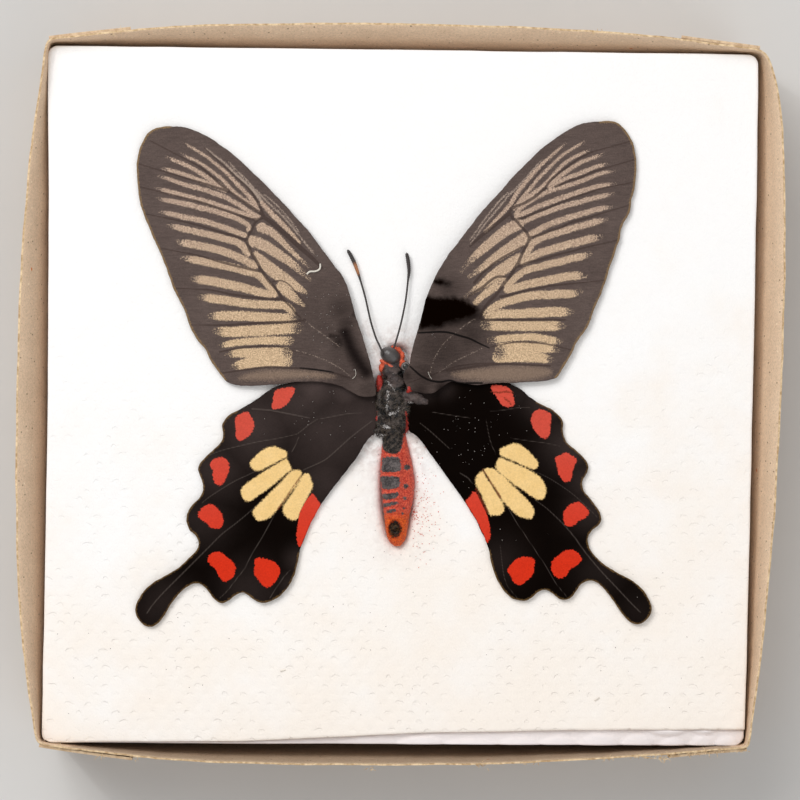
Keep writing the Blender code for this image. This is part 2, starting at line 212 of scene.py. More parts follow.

# %% [markdown]
# ## Making a piece
#
# Each piece is a mesh of its own that rides on the object's one body and stands for one of
# the plain solids. One helper makes the mesh, hangs the depth fields on its points, puts it on
# the body and hides the plain solid it stands for.

# %% A piece from points and faces
def make_piece(name, points, faces, finish, slot, node=None, fields=None):
    """A mesh object from places in millimetres, which stands for a node of the frame."""
    mesh = bpy.data.meshes.new(name)
    mesh.from_pydata((np.asarray(points) * MM).tolist(), [], faces)
    for field, values in (fields or {}).items():
        layer = mesh.attributes.new(field, "FLOAT", "POINT")
        layer.data.foreach_set("value", np.asarray(values, dtype=np.float32))
    mesh.materials.append(finish)
    mesh.shade_smooth()
    piece = bpy.data.objects.new(name, mesh)
    bpy.context.scene.collection.objects.link(piece)
    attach(piece, "root")
    if node:
        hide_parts(node)
    mesh.calc_loop_triangles()
    print(name, "has", len(mesh.loop_triangles), "triangles")
    return piece


# %% [markdown]
# ## Finishes, wired node by node
#
# Nothing on this object has one flat colour. Scales, tissue and board all vary in colour and
# height at several sizes. This small class keeps the wiring short: each method adds one node
# and gives back its socket, so a finish reads as a recipe from top to bottom.

# %% A finish
def srgb(red, green, blue):
    """A colour as a screen shows it, from 0 to 255, as the linear colour that a shader needs."""
    linear = [((c / 255 + 0.055) / 1.055) ** 2.4 if c > 10 else c / 255 / 12.92 for c in (red, green, blue)]
    return (*linear, 1.0)


class Finish:
    """A material whose colour, roughness and bump are wired from small nodes."""

    def __init__(self, name, roughness=0.8):
        self.material = bpy.data.materials.new(name)
        self.material.use_nodes = True
        self.tree = self.material.node_tree
        self.shader = self.tree.nodes["Principled BSDF"]
        self.shader.inputs["Roughness"].default_value = roughness
        self.place = self.tree.nodes.new("ShaderNodeTexCoord").outputs["Object"]

    def plug(self, socket, value):
        if isinstance(value, bpy.types.NodeSocket):
            self.tree.links.new(value, socket)
        else:
            socket.default_value = value

    def field(self, name):
        node = self.tree.nodes.new("ShaderNodeAttribute")
        node.attribute_name = name
        return node.outputs["Fac"]

    def math(self, operation, first, second=0.0):
        node = self.tree.nodes.new("ShaderNodeMath")
        node.operation = operation
        self.plug(node.inputs[0], first)
        self.plug(node.inputs[1], second)
        return node.outputs[0]

    def times(self, first, second):
        return self.math("MULTIPLY", first, second)

    def plus(self, first, second):
        return self.math("ADD", first, second)

    def minus(self, first, second):
        return self.math("SUBTRACT", first, second)

    def swing(self, noise, amount):
        """A noise moved to lie about 0, and made that many times stronger."""
        return self.times(self.minus(noise, 0.5), amount)

    def step(self, value, low, high):
        """0 below low, 1 above high and a smooth rise between them."""
        node = self.tree.nodes.new("ShaderNodeMapRange")
        node.interpolation_type = "SMOOTHSTEP"
        self.plug(node.inputs["Value"], value)
        self.plug(node.inputs["From Min"], low)
        self.plug(node.inputs["From Max"], high)
        return node.outputs["Result"]

    def stretched(self, grain):
        """Coordinates in grains: each grain is that many millimetres along x, y and z."""
        node = self.tree.nodes.new("ShaderNodeVectorMath")
        node.operation = "MULTIPLY"
        sizes = grain if isinstance(grain, tuple) else (grain, grain, grain)
        self.plug(node.inputs[0], self.place)
        node.inputs[1].default_value = [1 / (size * MM) for size in sizes]
        return node.outputs[0]

    def noise(self, grain, detail=3.0, roughness=0.6):
        """Cloudy noise about 0.5, with grains of that many millimetres."""
        node = self.tree.nodes.new("ShaderNodeTexNoise")
        self.plug(node.inputs["Vector"], self.stretched(grain))
        node.inputs["Scale"].default_value = 1.0
        node.inputs["Detail"].default_value = detail
        node.inputs["Roughness"].default_value = roughness
        return node.outputs["Fac"]

    def specks(self, grain):
        """Distance to the nearest of many random points, in grains."""
        node = self.tree.nodes.new("ShaderNodeTexVoronoi")
        self.plug(node.inputs["Vector"], self.stretched(grain))
        node.inputs["Scale"].default_value = 1.0
        return node.outputs["Distance"]

    def edge(self, name, jitter, low, high):
        """The soft border of a depth field, roughened by a jitter: 0 outside and 1 inside."""
        return self.step(self.plus(self.field(name), jitter), low, high)

    def flecks(self, grain, low, high):
        """1 on small random flecks and 0 between them."""
        return self.minus(1.0, self.step(self.specks(grain), low, high))

    def mix(self, share, first, second):
        """A colour between two. Sockets 6, 7 and 2 are the Mix node's colour inputs and output."""
        node = self.tree.nodes.new("ShaderNodeMix")
        node.data_type = "RGBA"
        self.plug(node.inputs[0], share)
        self.plug(node.inputs[6], first)
        self.plug(node.inputs[7], second)
        return node.outputs[2]

    def haired(self, colour, dark, pale):
        """The skin's colour where the hair field is 0, and each hair's own shade elsewhere."""
        return self.mix(self.step(self.field("hair"), 0.02, 0.1), colour,
                        self.mix(self.field("hair"), dark, pale))

    def scaled(self, colour, amount):
        """A colour made darker or lighter by a number."""
        node = self.tree.nodes.new("ShaderNodeVectorMath")
        node.operation = "SCALE"
        self.plug(node.inputs[0], colour)
        self.plug(node.inputs["Scale"], amount)
        return node.outputs[0]

    def bump(self, height, depth):
        """Relief from a height of 0 to 1, as deep as that many millimetres."""
        node = self.tree.nodes.new("ShaderNodeBump")
        node.inputs["Distance"].default_value = depth * MM
        self.plug(node.inputs["Height"], height)
        self.plug(self.shader.inputs["Normal"], node.outputs["Normal"])

    def wear(self, **sockets):
        """Plug finished values into the shader, such as Base_Color or Roughness."""
        for name, value in sockets.items():
            self.plug(self.shader.inputs[name.replace("_", " ")], value)
        return self.material


print("the finish of dark scales is", [round(c, 3) for c in srgb(85, 75, 72)])

# %% [markdown]
# ## The floor and the light
#
# A pale plain floor carries the tray, and the light is that of a bright overcast window:
# one very large soft source above and a little towards the upper left, with a pale sky
# for the rest. Large sources keep the shadows soft. A pale wall opposite the window lights the
# inner walls of the tray, and a small lamp gives the glints on the eyes and smooth plates.

# %% Floor
floor_finish = Finish("floor_paint", roughness=0.9)
floor_finish.wear(Base_Color=floor_finish.mix(
    floor_finish.noise(30.0), srgb(205, 203, 200), srgb(212, 210, 207)))
bm = bmesh.new()
bmesh.ops.create_grid(bm, x_segments=8, y_segments=8, size=1.5)
floor_mesh = bpy.data.meshes.new("floor")
bm.to_mesh(floor_mesh)
bm.free()
floor_mesh.materials.append(floor_finish.material)
floor = bpy.data.objects.new("floor", floor_mesh)
bpy.context.scene.collection.objects.link(floor)
print("the floor is", round(floor.dimensions.x, 2), "m wide")


# %% Lights
def soft_light(name, spot, size, power):
    """A square soft light, in metres and watts, that points at the tray."""
    data = bpy.data.lights.new(name, "AREA")
    data.size = size
    data.energy = power
    light = bpy.data.objects.new(name, data)
    bpy.context.scene.collection.objects.link(light)
    light.location = spot
    light.rotation_euler = (-Vector(spot)).to_track_quat("-Z", "Y").to_euler()


soft_light("window", (-0.42, 0.6, 0.8), 0.7, 7.1)
soft_light("sky_panel", (0.2, -0.1, 1.2), 1.4, 4.3)
soft_light("pale_wall", (0.45, -0.75, 0.45), 0.9, 2.7)
soft_light("lamp", (-0.5, 0.45, 0.75), 0.04, 0.9)
world = bpy.data.worlds.new("pale_room")
world.use_nodes = True
world.node_tree.nodes["Background"].inputs["Color"].default_value = (0.95, 0.97, 1.0, 1.0)
world.node_tree.nodes["Background"].inputs["Strength"].default_value = 0.27
bpy.context.scene.world = world
bpy.context.scene.view_settings.view_transform = "Standard"
print("three soft lights, a small lamp and a pale room")

# %% [markdown]
# ## Wing outlines
#
# Each outline starts at the front of the wing's root, runs round the tip and comes back along
# the rear edge. The points are closer together where the edge turns, such as on the scallops
# and the club-shaped tails of the hindwings.

# %% Forewing outlines
LEFT_FOREWING = [
    (375, 384), (374, 380), (370, 361), (366, 348), (363, 338), (360, 329), (356, 317), (353, 306),
    (350, 295), (346, 283), (341, 274), (336, 268), (330, 260), (322, 249), (310, 233), (300, 222),
    (290, 210.5), (280, 200), (270, 189.5), (260, 179.5), (250, 170), (240, 160.5), (230, 152), (220, 145),
    (210, 138), (200, 133), (188, 128.5), (180, 127), (170, 126.5), (163, 127), (157, 128), (152, 130.5),
    (147, 135), (144, 140), (141, 146), (139, 152), (137.5, 160), (137, 168), (138, 185), (140, 201),
    (144, 214), (149, 227), (155, 241), (161, 254), (168, 272), (174.5, 290), (184.5, 310), (191, 328),
    (198, 340), (206, 350), (210.5, 360), (217.5, 370), (225, 380), (230, 383), (237, 385), (245, 386),
    (262, 385.5), (280, 384), (295, 382), (310, 381.5), (325, 382.5), (340, 386), (350, 391), (360, 396),
    (368, 397), (376, 395)]
RIGHT_FOREWING = [
    (409, 365), (411, 355), (414, 343), (417, 333), (420, 322), (423, 310), (426, 299), (429.5, 290),
    (433.5, 280.5), (437, 273), (440, 268), (446, 259), (450, 252.5), (460, 240), (470, 227), (480, 214),
    (490, 203), (500, 192), (510, 180), (520, 170), (530, 160), (540, 150), (550, 142.5), (560, 135.5),
    (570, 129.5), (580, 124.5), (590, 122.5), (600, 121.8), (608, 121.2), (616, 122.5), (623, 128),
    (630, 138), (634, 148), (636, 160), (636, 170), (635, 180), (634, 190), (631, 200), (630, 210),
    (627, 217), (624, 222), (621, 229), (619, 240), (616, 248), (613, 258), (609, 268), (607, 276),
    (604, 285), (600, 296), (596.5, 303), (594.5, 308), (592, 315), (590, 321), (586, 329), (580, 337),
    (576, 343), (573, 350), (570, 356), (567, 361), (563, 367), (560, 373), (556, 378), (549, 380),
    (540, 381.5), (530, 382), (510, 383), (500, 383), (490, 383.5), (480, 385), (470, 384.5), (458, 383),
    (450, 382), (441, 388), (433, 393), (424, 393.5), (414, 391.5), (408, 388), (404.5, 382), (403.5, 374)]
print("the forewings' outlines have", len(LEFT_FOREWING), "and", len(RIGHT_FOREWING), "places")

# %% Hindwing outlines
LEFT_HINDWING = [
    (275, 387), (268, 391), (260, 397), (250, 403.5), (237, 411), (231, 414), (227, 417.5), (222.5, 424),
    (222.5, 428), (223.5, 433), (223, 438), (220, 443.5), (214.5, 449), (209, 454), (204, 459),
    (200.5, 463), (198.5, 467), (198.5, 471), (200, 475), (202, 480), (203.3, 486), (203, 491), (200, 497),
    (193, 504.5), (188, 512), (187, 517), (187, 522), (190, 530), (194, 533), (197, 537), (198.5, 541),
    (198.5, 546), (196, 551), (189, 558), (184, 563), (178, 568), (170, 573), (156, 581), (149, 586),
    (143, 592), (139.5, 598), (136.5, 604), (135.5, 610), (136.5, 615), (139, 619.5), (143, 624),
    (147, 626), (152, 626.5), (157, 624), (161, 620), (166, 613), (170, 606), (174, 600), (178, 595),
    (183, 590), (189, 585.5), (196, 583), (202, 584.5), (207, 589), (211, 595), (215, 599.5), (220, 602.5),
    (224, 602.5), (229, 600), (234, 596), (239, 593.5), (243, 592.5), (248, 594.5), (253, 598.5),
    (258, 601.5), (263, 602.8), (268, 602), (273, 600), (279, 596.5), (284, 592), (289, 586), (293, 578),
    (296, 570), (298, 561), (299.5, 553), (301, 547), (304, 540), (307, 532), (310, 525), (314, 517),
    (320, 506), (326, 497.5), (332, 489), (340, 479), (347, 470), (354, 461), (360, 452), (366, 442),
    (371, 436), (375, 432), (377, 410), (375, 388), (362, 383), (345, 379), (325, 378), (305, 380),
    (290, 383)]
RIGHT_HINDWING = [
    (506, 383), (512, 385), (520, 389), (525, 393), (530, 397.5), (537, 402), (544, 405.5), (551, 409),
    (557, 414), (561, 418), (563, 423), (562.5, 429), (563, 434), (565, 440), (569, 445), (575, 449.5),
    (581, 455), (585, 459.5), (587.5, 464), (588, 469), (586, 474), (583, 479), (582, 484), (583, 490),
    (587, 495), (592, 501), (597, 508), (600, 513), (601, 518), (600, 523), (596, 527), (592, 530),
    (589, 534), (587.5, 540), (588.5, 546), (591, 551), (595, 556), (599, 560), (605, 565), (612, 569.5),
    (619, 573.5), (626, 577), (633, 581), (640, 587), (645, 593), (649, 600), (651.3, 606), (650.5, 613),
    (646, 619.5), (641, 623), (636, 624), (630, 622), (625, 617), (620, 611), (614, 602), (608, 594),
    (602, 587), (597, 582.5), (591, 580.3), (585, 581.5), (580, 585), (576, 591), (572, 596), (567, 599.3),
    (562, 599.5), (557, 597), (552, 593), (547, 590), (542, 590), (537, 592.5), (533, 596), (528, 599.5),
    (523, 600.5), (517, 599.5), (512, 598), (507, 594), (502, 588), (498, 581), (495, 574), (492.5, 567),
    (490.5, 559), (489, 551), (487, 544), (484, 537), (480, 529), (476, 520), (471, 512), (465, 502.5),
    (460, 495), (453, 485), (445, 474), (437, 463), (430, 453), (424, 445), (419, 438.5), (414, 434),
    (409, 430), (406, 410), (405, 390), (405, 372), (411, 367), (421, 374), (440, 379), (475, 380)]
print("the hindwings' outlines have", len(LEFT_HINDWING), "and", len(RIGHT_HINDWING), "places")

# %% [markdown]
# ## Veins and stripes of the forewings
#
# The forewings are dark, with a pair of pale stripes between each two veins, and broader
# stripes that narrow towards the body fill the big cell in the middle. A stripe is a line with
# three widths in pixels: at its outer end, in its middle and at its inner end. The veins are
# thin dark ribs, the painted shade lines are darker and have no rib, and a few pale lines are so
# thin that they are kept apart.

# %% Left forewing
LEFT_STRIPES = [
  (1.6, 2.4, 3.6, [(183, 142.8), (191.5, 147.4), (200, 152.8), (208, 157.8), (216, 164.4), (225, 171.4),
    (233, 179.7), (241, 188), (249.5, 197), (257, 205.4)]),
  (1.8, 2.6, 3.2, [(180.7, 153.6), (187, 157), (195.6, 160.7), (204, 165.6), (212, 171.4), (220.5, 178),
    (227, 184), (233, 191.3), (241, 198), (249.5, 203.8), (258.6, 210.4)]),
  (2.4, 3.3, 3.6, [(166.6, 157.3), (175, 160.7), (183, 164), (191.5, 168), (200, 173), (208, 178),
    (216, 183), (226.5, 190.3)]),
  (2.4, 3.5, 3, [(162.4, 168.5), (170.7, 170.6), (179, 173), (187, 175.6), (195.6, 179), (204, 182.2),
    (212, 185), (220.5, 188.8), (226.5, 190.8)]),
  (2.6, 3.7, 3.4, [(159, 176.4), (166.6, 178.5), (175, 181.4), (183, 184.3), (191.5, 186.8), (200, 188.8),
    (208, 191.3), (216, 194.2), (225, 197), (233, 201.7), (241, 206.3), (249.5, 212), (259, 217.5)]),
  (3, 4.1, 3.6, [(156.6, 188.4), (162.4, 189.7), (170.7, 192.2), (179, 194.2), (187, 196.7),
    (195.6, 198.8), (204, 201), (212, 203.4), (220.5, 206.3), (229, 209.2), (237, 212), (245.4, 214.6),
    (257, 218.5)]),
  (3.2, 4.4, 3.4, [(157.5, 198.4), (166.6, 200.5), (175, 202), (183, 203.8), (191.5, 205.4), (200, 208),
    (208, 209.6), (216, 211.7), (225, 214.6), (233, 217), (241, 220.8), (249, 226), (248.5, 230)]),
  (3.4, 4.5, 4.4, [(160, 212), (166.6, 213.3), (175, 215), (183, 217), (191.5, 218.7), (200, 220.4),
    (208, 222.4), (216, 225), (225, 227.8), (233, 231), (245.4, 235.7)]),
  (4.4, 5.5, 6, [(168, 225.7), (175, 227), (183, 229), (191.5, 230.7), (200, 232.8), (208, 234.5),
    (216, 236.5), (225, 239), (233, 241), (241, 244.4), (248, 253)]),
  (6, 6.5, 6, [(178, 242), (195, 245), (210, 248), (225, 252), (240, 258), (255, 266)]),
  (6, 6.5, 5, [(183, 258), (200, 261), (215, 264), (230, 267), (245, 271), (258, 275), (268, 285),
    (275, 295)]),
  (7, 7.5, 6, [(192, 279), (210, 281), (225, 284), (240, 287), (255, 291), (270, 295)]),
  (7, 7, 6, [(200, 297), (215, 299), (230, 301), (250, 304), (270, 305), (285, 306), (292, 311)]),
  (7.5, 8, 6, [(210, 316), (240, 316), (260, 317), (280, 318), (295, 318)]),
  (8, 9, 9, [(215, 331), (230, 332), (250, 331), (270, 330), (298, 328)]),
  (5, 6, 7, [(220, 346), (235, 343), (250, 341.5), (270, 340.5), (290, 341)]),
  (5, 9, 11, [(227, 355), (240, 353), (255, 353.5), (270, 353.5), (286, 354)]),
  (6, 9, 8, [(232, 367), (245, 364), (260, 362), (288, 362)])]
LEFT_CELL_STRIPES = [
  (3.5, 4.6, 2, [(262, 203), (272, 214), (287, 229), (300, 243)]),
  (10, 5.5, 2, [(262, 228), (272, 232.5), (284, 243.5), (297, 256.5), (310, 268)]),
  (11, 8.5, 2.5, [(253, 241.5), (263, 245), (274, 251.5), (284, 258), (294, 265.5), (304, 274),
    (310, 279.5)]),
  (6, 12, 3, [(256, 254.5), (264, 263), (274, 271.5), (285, 279.5), (296, 286.5), (306, 293)]),
  (6, 9, 3, [(279.5, 286.5), (287, 292), (294, 297.5), (303.5, 305.5)])]
LEFT_THIN_LINES = [
  (1.4, 2.2, 3, [(206.4, 149), (216, 156.5), (225, 163.6), (233, 171.4), (241, 179), (249.5, 187.2),
    (255.3, 193), (262, 202)]),
  (1, 1.5, 1.2, [(229, 162.3), (237, 170.6), (245.4, 179), (253.7, 188), (262, 196.3), (270, 204.6),
    (280, 213.7), (288, 222), (302, 239), (314, 254)]),
  (0.8, 1.1, 0.8, [(264.4, 194.7), (272, 201), (280, 208.7), (290, 220), (299, 231.5)]),
  (0.1, 0.1, 0.1, [(301.6, 318.8), (312, 326.5), (324, 335), (340, 347)]),
  (0.1, 0.1, 0.1, [(295.5, 350.4), (310, 354.5), (324, 359.6), (340, 368), (350, 376)])]
# thin lines of painted shade
LEFT_SHADE_LINES = [(0.8, 1.2, 0.8, [(300, 368), (310, 369), (322, 370.5), (334, 372.5)])]
LEFT_VEINS = [
  (3, 3, 3, [(264, 218), (258, 220), (254, 225), (252, 230), (248, 237), (247, 241)]),
  (3.5, 3, 1.5, [(247, 241), (250, 250), (256, 260), (262, 271), (268, 280), (276, 289), (283, 299),
    (290, 306), (297, 314), (305, 322)]),
  (4, 5, 3, [(264, 217.5), (274, 224.5), (287, 235.5), (300, 247.5), (312, 258), (322, 268)]),
  (1.6, 2.5, 2.9, [(165, 172), (185, 178), (205, 184), (220, 189), (229, 192)]),
  (1.6, 2.5, 2.9, [(185, 159), (200, 167), (210, 175), (220, 184), (229, 191)]),
  (2, 3, 3, [(229, 191), (240, 199), (250, 206), (264, 216)]),
  (1.6, 2.5, 2.9, [(235, 176), (250, 190), (259, 205), (264, 216)]),
  (1.6, 2.5, 2.9, [(160, 192), (180, 197), (200, 202), (215, 207), (230, 212), (250, 219), (258, 220)]),
  (1.6, 2.5, 2.9, [(160, 217), (180, 221), (200, 226), (220, 232), (240, 238), (247, 241)]),
  (1.6, 2.5, 2.9, [(180, 252), (200, 256), (220, 262), (240, 267), (262, 272)]),
  (1.6, 2.5, 2.9, [(190, 289), (210, 290), (230, 294), (250, 297), (270, 299), (283, 299)]),
  (1.5, 3, 3, [(200, 325), (230, 325), (260, 323), (290, 322), (305, 320)]),
  (2, 2, 1, [(220, 352), (235, 349), (250, 347), (265, 346), (280, 347), (290, 350), (310, 355)]),
  (1.5, 2.5, 2, [(210, 375), (230, 372), (250, 369), (270, 367), (290, 368), (310, 369), (330, 372),
    (350, 378)]),
  (2, 1.8, 1.2, [(273, 282), (278, 281), (283.5, 281.3), (289.4, 285), (295.5, 291.5), (304, 301)])]
left_count = len(LEFT_STRIPES + LEFT_CELL_STRIPES)
print("the left forewing has", left_count, "pale stripes and", len(LEFT_VEINS), "veins")

# %% Right forewing
RIGHT_STRIPES = [
  (1.4, 3.2, 2.4, [(566, 143.2), (558, 150), (550, 157.3), (541.5, 164.8), (533, 174), (525, 183),
    (516.6, 193.8), (510.8, 203.8), (505, 210.4), (500, 216), (485, 232)]),
  (1.8, 2.5, 3.4, [(586, 140.8), (579, 145), (570.5, 150), (562, 155.7), (554, 163), (545.6, 171.4),
    (537.3, 179.7), (531.5, 187.2), (523, 197), (516.6, 205.4), (513.5, 209)]),
  (2, 2.9, 3.2, [(590.4, 150), (583, 153.2), (574.6, 157.3), (566, 162.3), (558, 169.8), (550, 179),
    (541.5, 187.2), (533, 193.8), (525, 199.2), (515, 207)]),
  (2.4, 3.2, 3.6, [(603.6, 154), (595.4, 157.3), (587, 160.2), (579, 163.6), (570.5, 169), (562, 174.8),
    (554, 181.4), (547.8, 186.4)]),
  (2.6, 3.4, 3.2, [(608.6, 164), (599.5, 166), (591, 169), (583, 172.3), (574.6, 175.6), (566, 179),
    (558, 183), (548.5, 187)]),
  (2.8, 3.5, 3.6, [(614.4, 171.4), (603.6, 173), (595.4, 175.6), (587, 179), (579, 182.2), (570.5, 185),
    (562, 187.6), (554, 189.7), (545.6, 193), (537.3, 197), (529, 202), (520.7, 208), (516, 214)]),
  (3.4, 4.2, 3.8, [(615, 184), (603.6, 185.5), (595.4, 187.2), (587, 189.7), (579, 192.2), (570.5, 195.5),
    (562, 198), (554, 201), (545.6, 203.8), (537.3, 207), (529, 211.2), (516.6, 217)]),
  (3.2, 4.2, 3.6, [(613.6, 193.8), (603.6, 196), (595.4, 198), (587, 200), (579, 202.5), (570.5, 204.6),
    (562, 207), (554, 209.6), (545.6, 212.5), (537.3, 215.8), (529, 219.5), (522.5, 223)]),
  (3.6, 4.7, 5, [(612, 207), (603.6, 208.3), (595.4, 210), (587, 212.5), (579, 215), (570.5, 217),
    (562, 220), (554, 222.8), (545.6, 226.2), (537.3, 230.7), (530.7, 234.5)]),
  (4.6, 5.6, 5, [(607, 219.5), (599.5, 221.2), (591, 223.3), (583, 225.7), (574.6, 227.8), (566, 230.3),
    (558, 232.8), (550, 235.3), (541.5, 238.2), (533, 243.5), (528, 251), (524, 257)]),
  (6.5, 6.5, 6, [(601, 237), (590, 239), (580, 242), (570, 244), (560, 247), (550, 250), (540, 253),
    (530, 258), (523, 262)]),
  (6, 6, 5, [(590, 254), (580, 257), (570, 259), (560, 262), (550, 264), (540, 267), (530, 269),
    (520, 274), (512, 281), (507, 286)]),
  (7, 7, 6, [(585, 276), (575, 276), (565, 277), (555, 279), (545, 281), (535, 283), (525, 285),
    (515, 288), (507, 290)]),
  (7, 7, 6, [(580, 292), (570, 294), (560, 294), (550, 295), (540, 295), (530, 296), (520, 298),
    (510, 301), (500, 304), (492, 309), (486, 314)]),
  (8, 8, 7, [(572, 312), (560, 312), (550, 312), (540, 313), (530, 313), (520, 314), (500, 314),
    (488, 316)]),
  (8.5, 8.5, 8, [(563, 326), (550, 326), (530, 326), (500, 326), (485, 325)]),
  (6, 6, 5, [(561, 342), (550, 340), (540, 338), (530, 337), (520, 337.5), (510, 338), (500, 339),
    (490, 341)]),
  (6, 9, 10, [(558, 350), (550, 348.5), (540, 348), (530, 348), (515, 348), (501, 349)]),
  (7, 9, 10, [(552, 360), (540, 358), (530, 357), (515, 356.5), (498, 357)])]
RIGHT_CELL_STRIPES = [
  (11, 9, 2, [(518, 224.5), (510, 228.5), (502, 233.5), (488, 245), (478, 253.5), (469, 262), (461, 272)]),
  (12, 9, 3, [(525, 238.5), (515, 245), (502, 253.5), (492, 260.5), (482, 268), (469, 277)]),
  (9, 11, 3, [(519, 258), (510, 264.5), (498, 273), (490, 279), (482, 285), (465, 297)]),
  (9, 7.5, 5, [(502, 281), (498, 284.5), (490, 290.5), (482, 296.5), (475.5, 303)])]
RIGHT_THIN_LINES = [
  (1, 1.3, 1, [(508, 193), (500, 200.5), (488, 215), (470, 240)]),
  (1, 1.5, 1.2, [(541.5, 160.7), (533, 169.8), (525, 179), (516.6, 188), (508, 196.3), (500, 206.5),
    (486, 223), (470, 245)]),
  (0.1, 0.1, 0.1, [(475, 319), (464, 326), (454, 334), (445, 342), (438, 352), (433, 362), (430, 373)]),
  (0.1, 0.1, 0.1, [(482, 348), (468, 355), (454, 362), (445, 368), (438, 373)])]
RIGHT_VEINS = [
  (3, 3, 3, [(509, 212), (512, 218), (517, 222), (520, 226), (524, 230), (527, 234), (529, 238),
    (530, 240)]),
  (3, 3.5, 3, [(529, 238), (527, 244), (524, 250), (521, 256), (518, 263), (514, 269), (510, 276),
    (505, 282), (500, 289), (495, 296), (488, 303), (483, 310), (480, 318)]),
  (4, 4, 3, [(509, 214), (500, 221), (490, 229), (480, 237), (470, 246)]),
  (3, 3, 3, [(509, 212), (515, 207), (525, 203), (535, 197), (543, 190), (546, 187)]),
  (1.6, 2.5, 2.9, [(600, 150), (590, 153), (580, 158), (570, 165), (560, 172), (550, 181), (545, 188)]),
  (1.6, 2.5, 2.9, [(610, 167), (600, 170), (590, 173), (580, 178), (570, 180.5), (555, 187)]),
  (1.2, 1.6, 2, [(527, 188), (520, 197), (515, 203), (510, 209)]),
  (1.6, 2.5, 2.9, [(620, 185), (610, 187), (600, 189), (585, 194), (575, 197), (565, 201), (555, 205),
    (545, 209.5), (535, 213), (525, 217.5), (518, 219)]),
  (1.6, 2.5, 2.9, [(610, 211), (600, 214), (590, 217.5), (580, 220), (570, 223), (560, 228), (550, 231),
    (540, 235), (530, 238)]),
  (1.6, 2.5, 2.9, [(606, 243), (590, 246.5), (580, 249), (570, 252), (560, 254), (550, 257), (540, 260),
    (530, 262), (520, 266), (515, 267)]),
  (1.6, 2.5, 2.9, [(580, 283), (570, 284), (560, 285), (550, 286), (540, 288), (530, 290), (520, 292),
    (510, 295), (500, 297)]),
  (2, 3, 3, [(565, 320), (550, 320), (530, 320), (500, 320), (482, 320)]),
  (1.5, 2, 1.5, [(563, 348), (555, 346), (545, 344), (535, 343), (520, 342), (510, 343), (500, 345),
    (490, 347)]),
  (2, 2.5, 2, [(550, 366), (530, 365), (510, 364), (500, 364), (480, 366), (460, 369), (447, 371)]),
  (2, 2.6, 3, [(524, 246), (510, 253.5), (498, 260.5), (489, 267.5), (481.5, 274), (474, 283)]),
  (2.5, 3, 2.5, [(505, 277), (497, 277), (490, 281), (483, 287), (475, 292), (468, 297)]),
  (1.5, 2, 1.5, [(440, 372), (455, 367), (470, 364.5), (490, 363.5), (520, 364)])]
# lines of painted shade, one along the rear edge and one across the root
RIGHT_SHADE_LINES = [
  (1.2, 1.6, 1.4, [(410, 366.5), (415, 371), (421, 376), (430, 380.5), (440, 382), (450, 380.5),
    (460, 383), (482, 383)]),
  (1.3, 1.6, 1, [(418, 333), (430, 332.5), (440, 332), (450, 333), (460, 336), (470, 339), (480, 344),
    (489, 348)])]
right_count = len(RIGHT_STRIPES + RIGHT_CELL_STRIPES)
print("the right forewing has", right_count, "pale stripes and", len(RIGHT_VEINS), "veins")

# %% [markdown]
# A parabola through the three widths gives a line its taper. Veins that end thinly are carried
# on, hair-thin, so that they reach the wing's margin.

# %% Lines with three widths
STRIPE_SPREAD = 1.15        # how much wider a stripe is than its fully covered middle
THIN_END = 2                # veins with a thinner outer end, in pixels, run on to the margin
RUN_ON = 18                 # how far they run on, in steps of the smooth line


def tapered(drawn):
    """A smooth line in millimetres, with its width as a third column, from a drawn stripe or vein."""
    outer, middle, inner, knots = drawn
    share = np.linspace(0, 1, len(knots))
    width = outer * (1 - share) * (1 - 2 * share) + middle * 4 * share * (1 - share)
    width += inner * share * (2 * share - 1)
    return smooth_line(places(np.column_stack([knots, width])))


def tapered_lines(drawn):
    return [tapered(line) for line in drawn]


def stripe_lines(drawn):
    """Stripes with slightly narrower outer ends. The powder of scales eats into them from both sides."""
    lines = tapered_lines(drawn)
    for line in lines:
        line[:, 2] *= STRIPE_SPREAD * np.clip(np.linspace(0.5, 5, len(line)), 0.5, 1)
    return lines


def to_margin(drawn):
    """Hair-thin ends that carry the veins of the outer half on to the margin."""
    ends = [line[:2] for line in tapered_lines(drawn) if line[0, 2] < THIN_END * PIXEL]
    stretch = (RUN_ON, RUN_ON, 0)
    return [np.vstack([end[0] + (end[0] - end[1]) * stretch, end[0]]) for end in ends]


print("the first stripe is", round(float(tapered(LEFT_STRIPES[0])[:, 2].max()), 2), "mm wide at most")

# %% [markdown]
# ## The red and cream spots of the hindwings
#
# The hindwings are black, with a red spot on each scallop and a fan of cream spots in the
# middle that the veins divide. The spots are closed outlines. Thin pale lines are the glint
# of light on the veins, and a few brown lines run between the spots or across them.

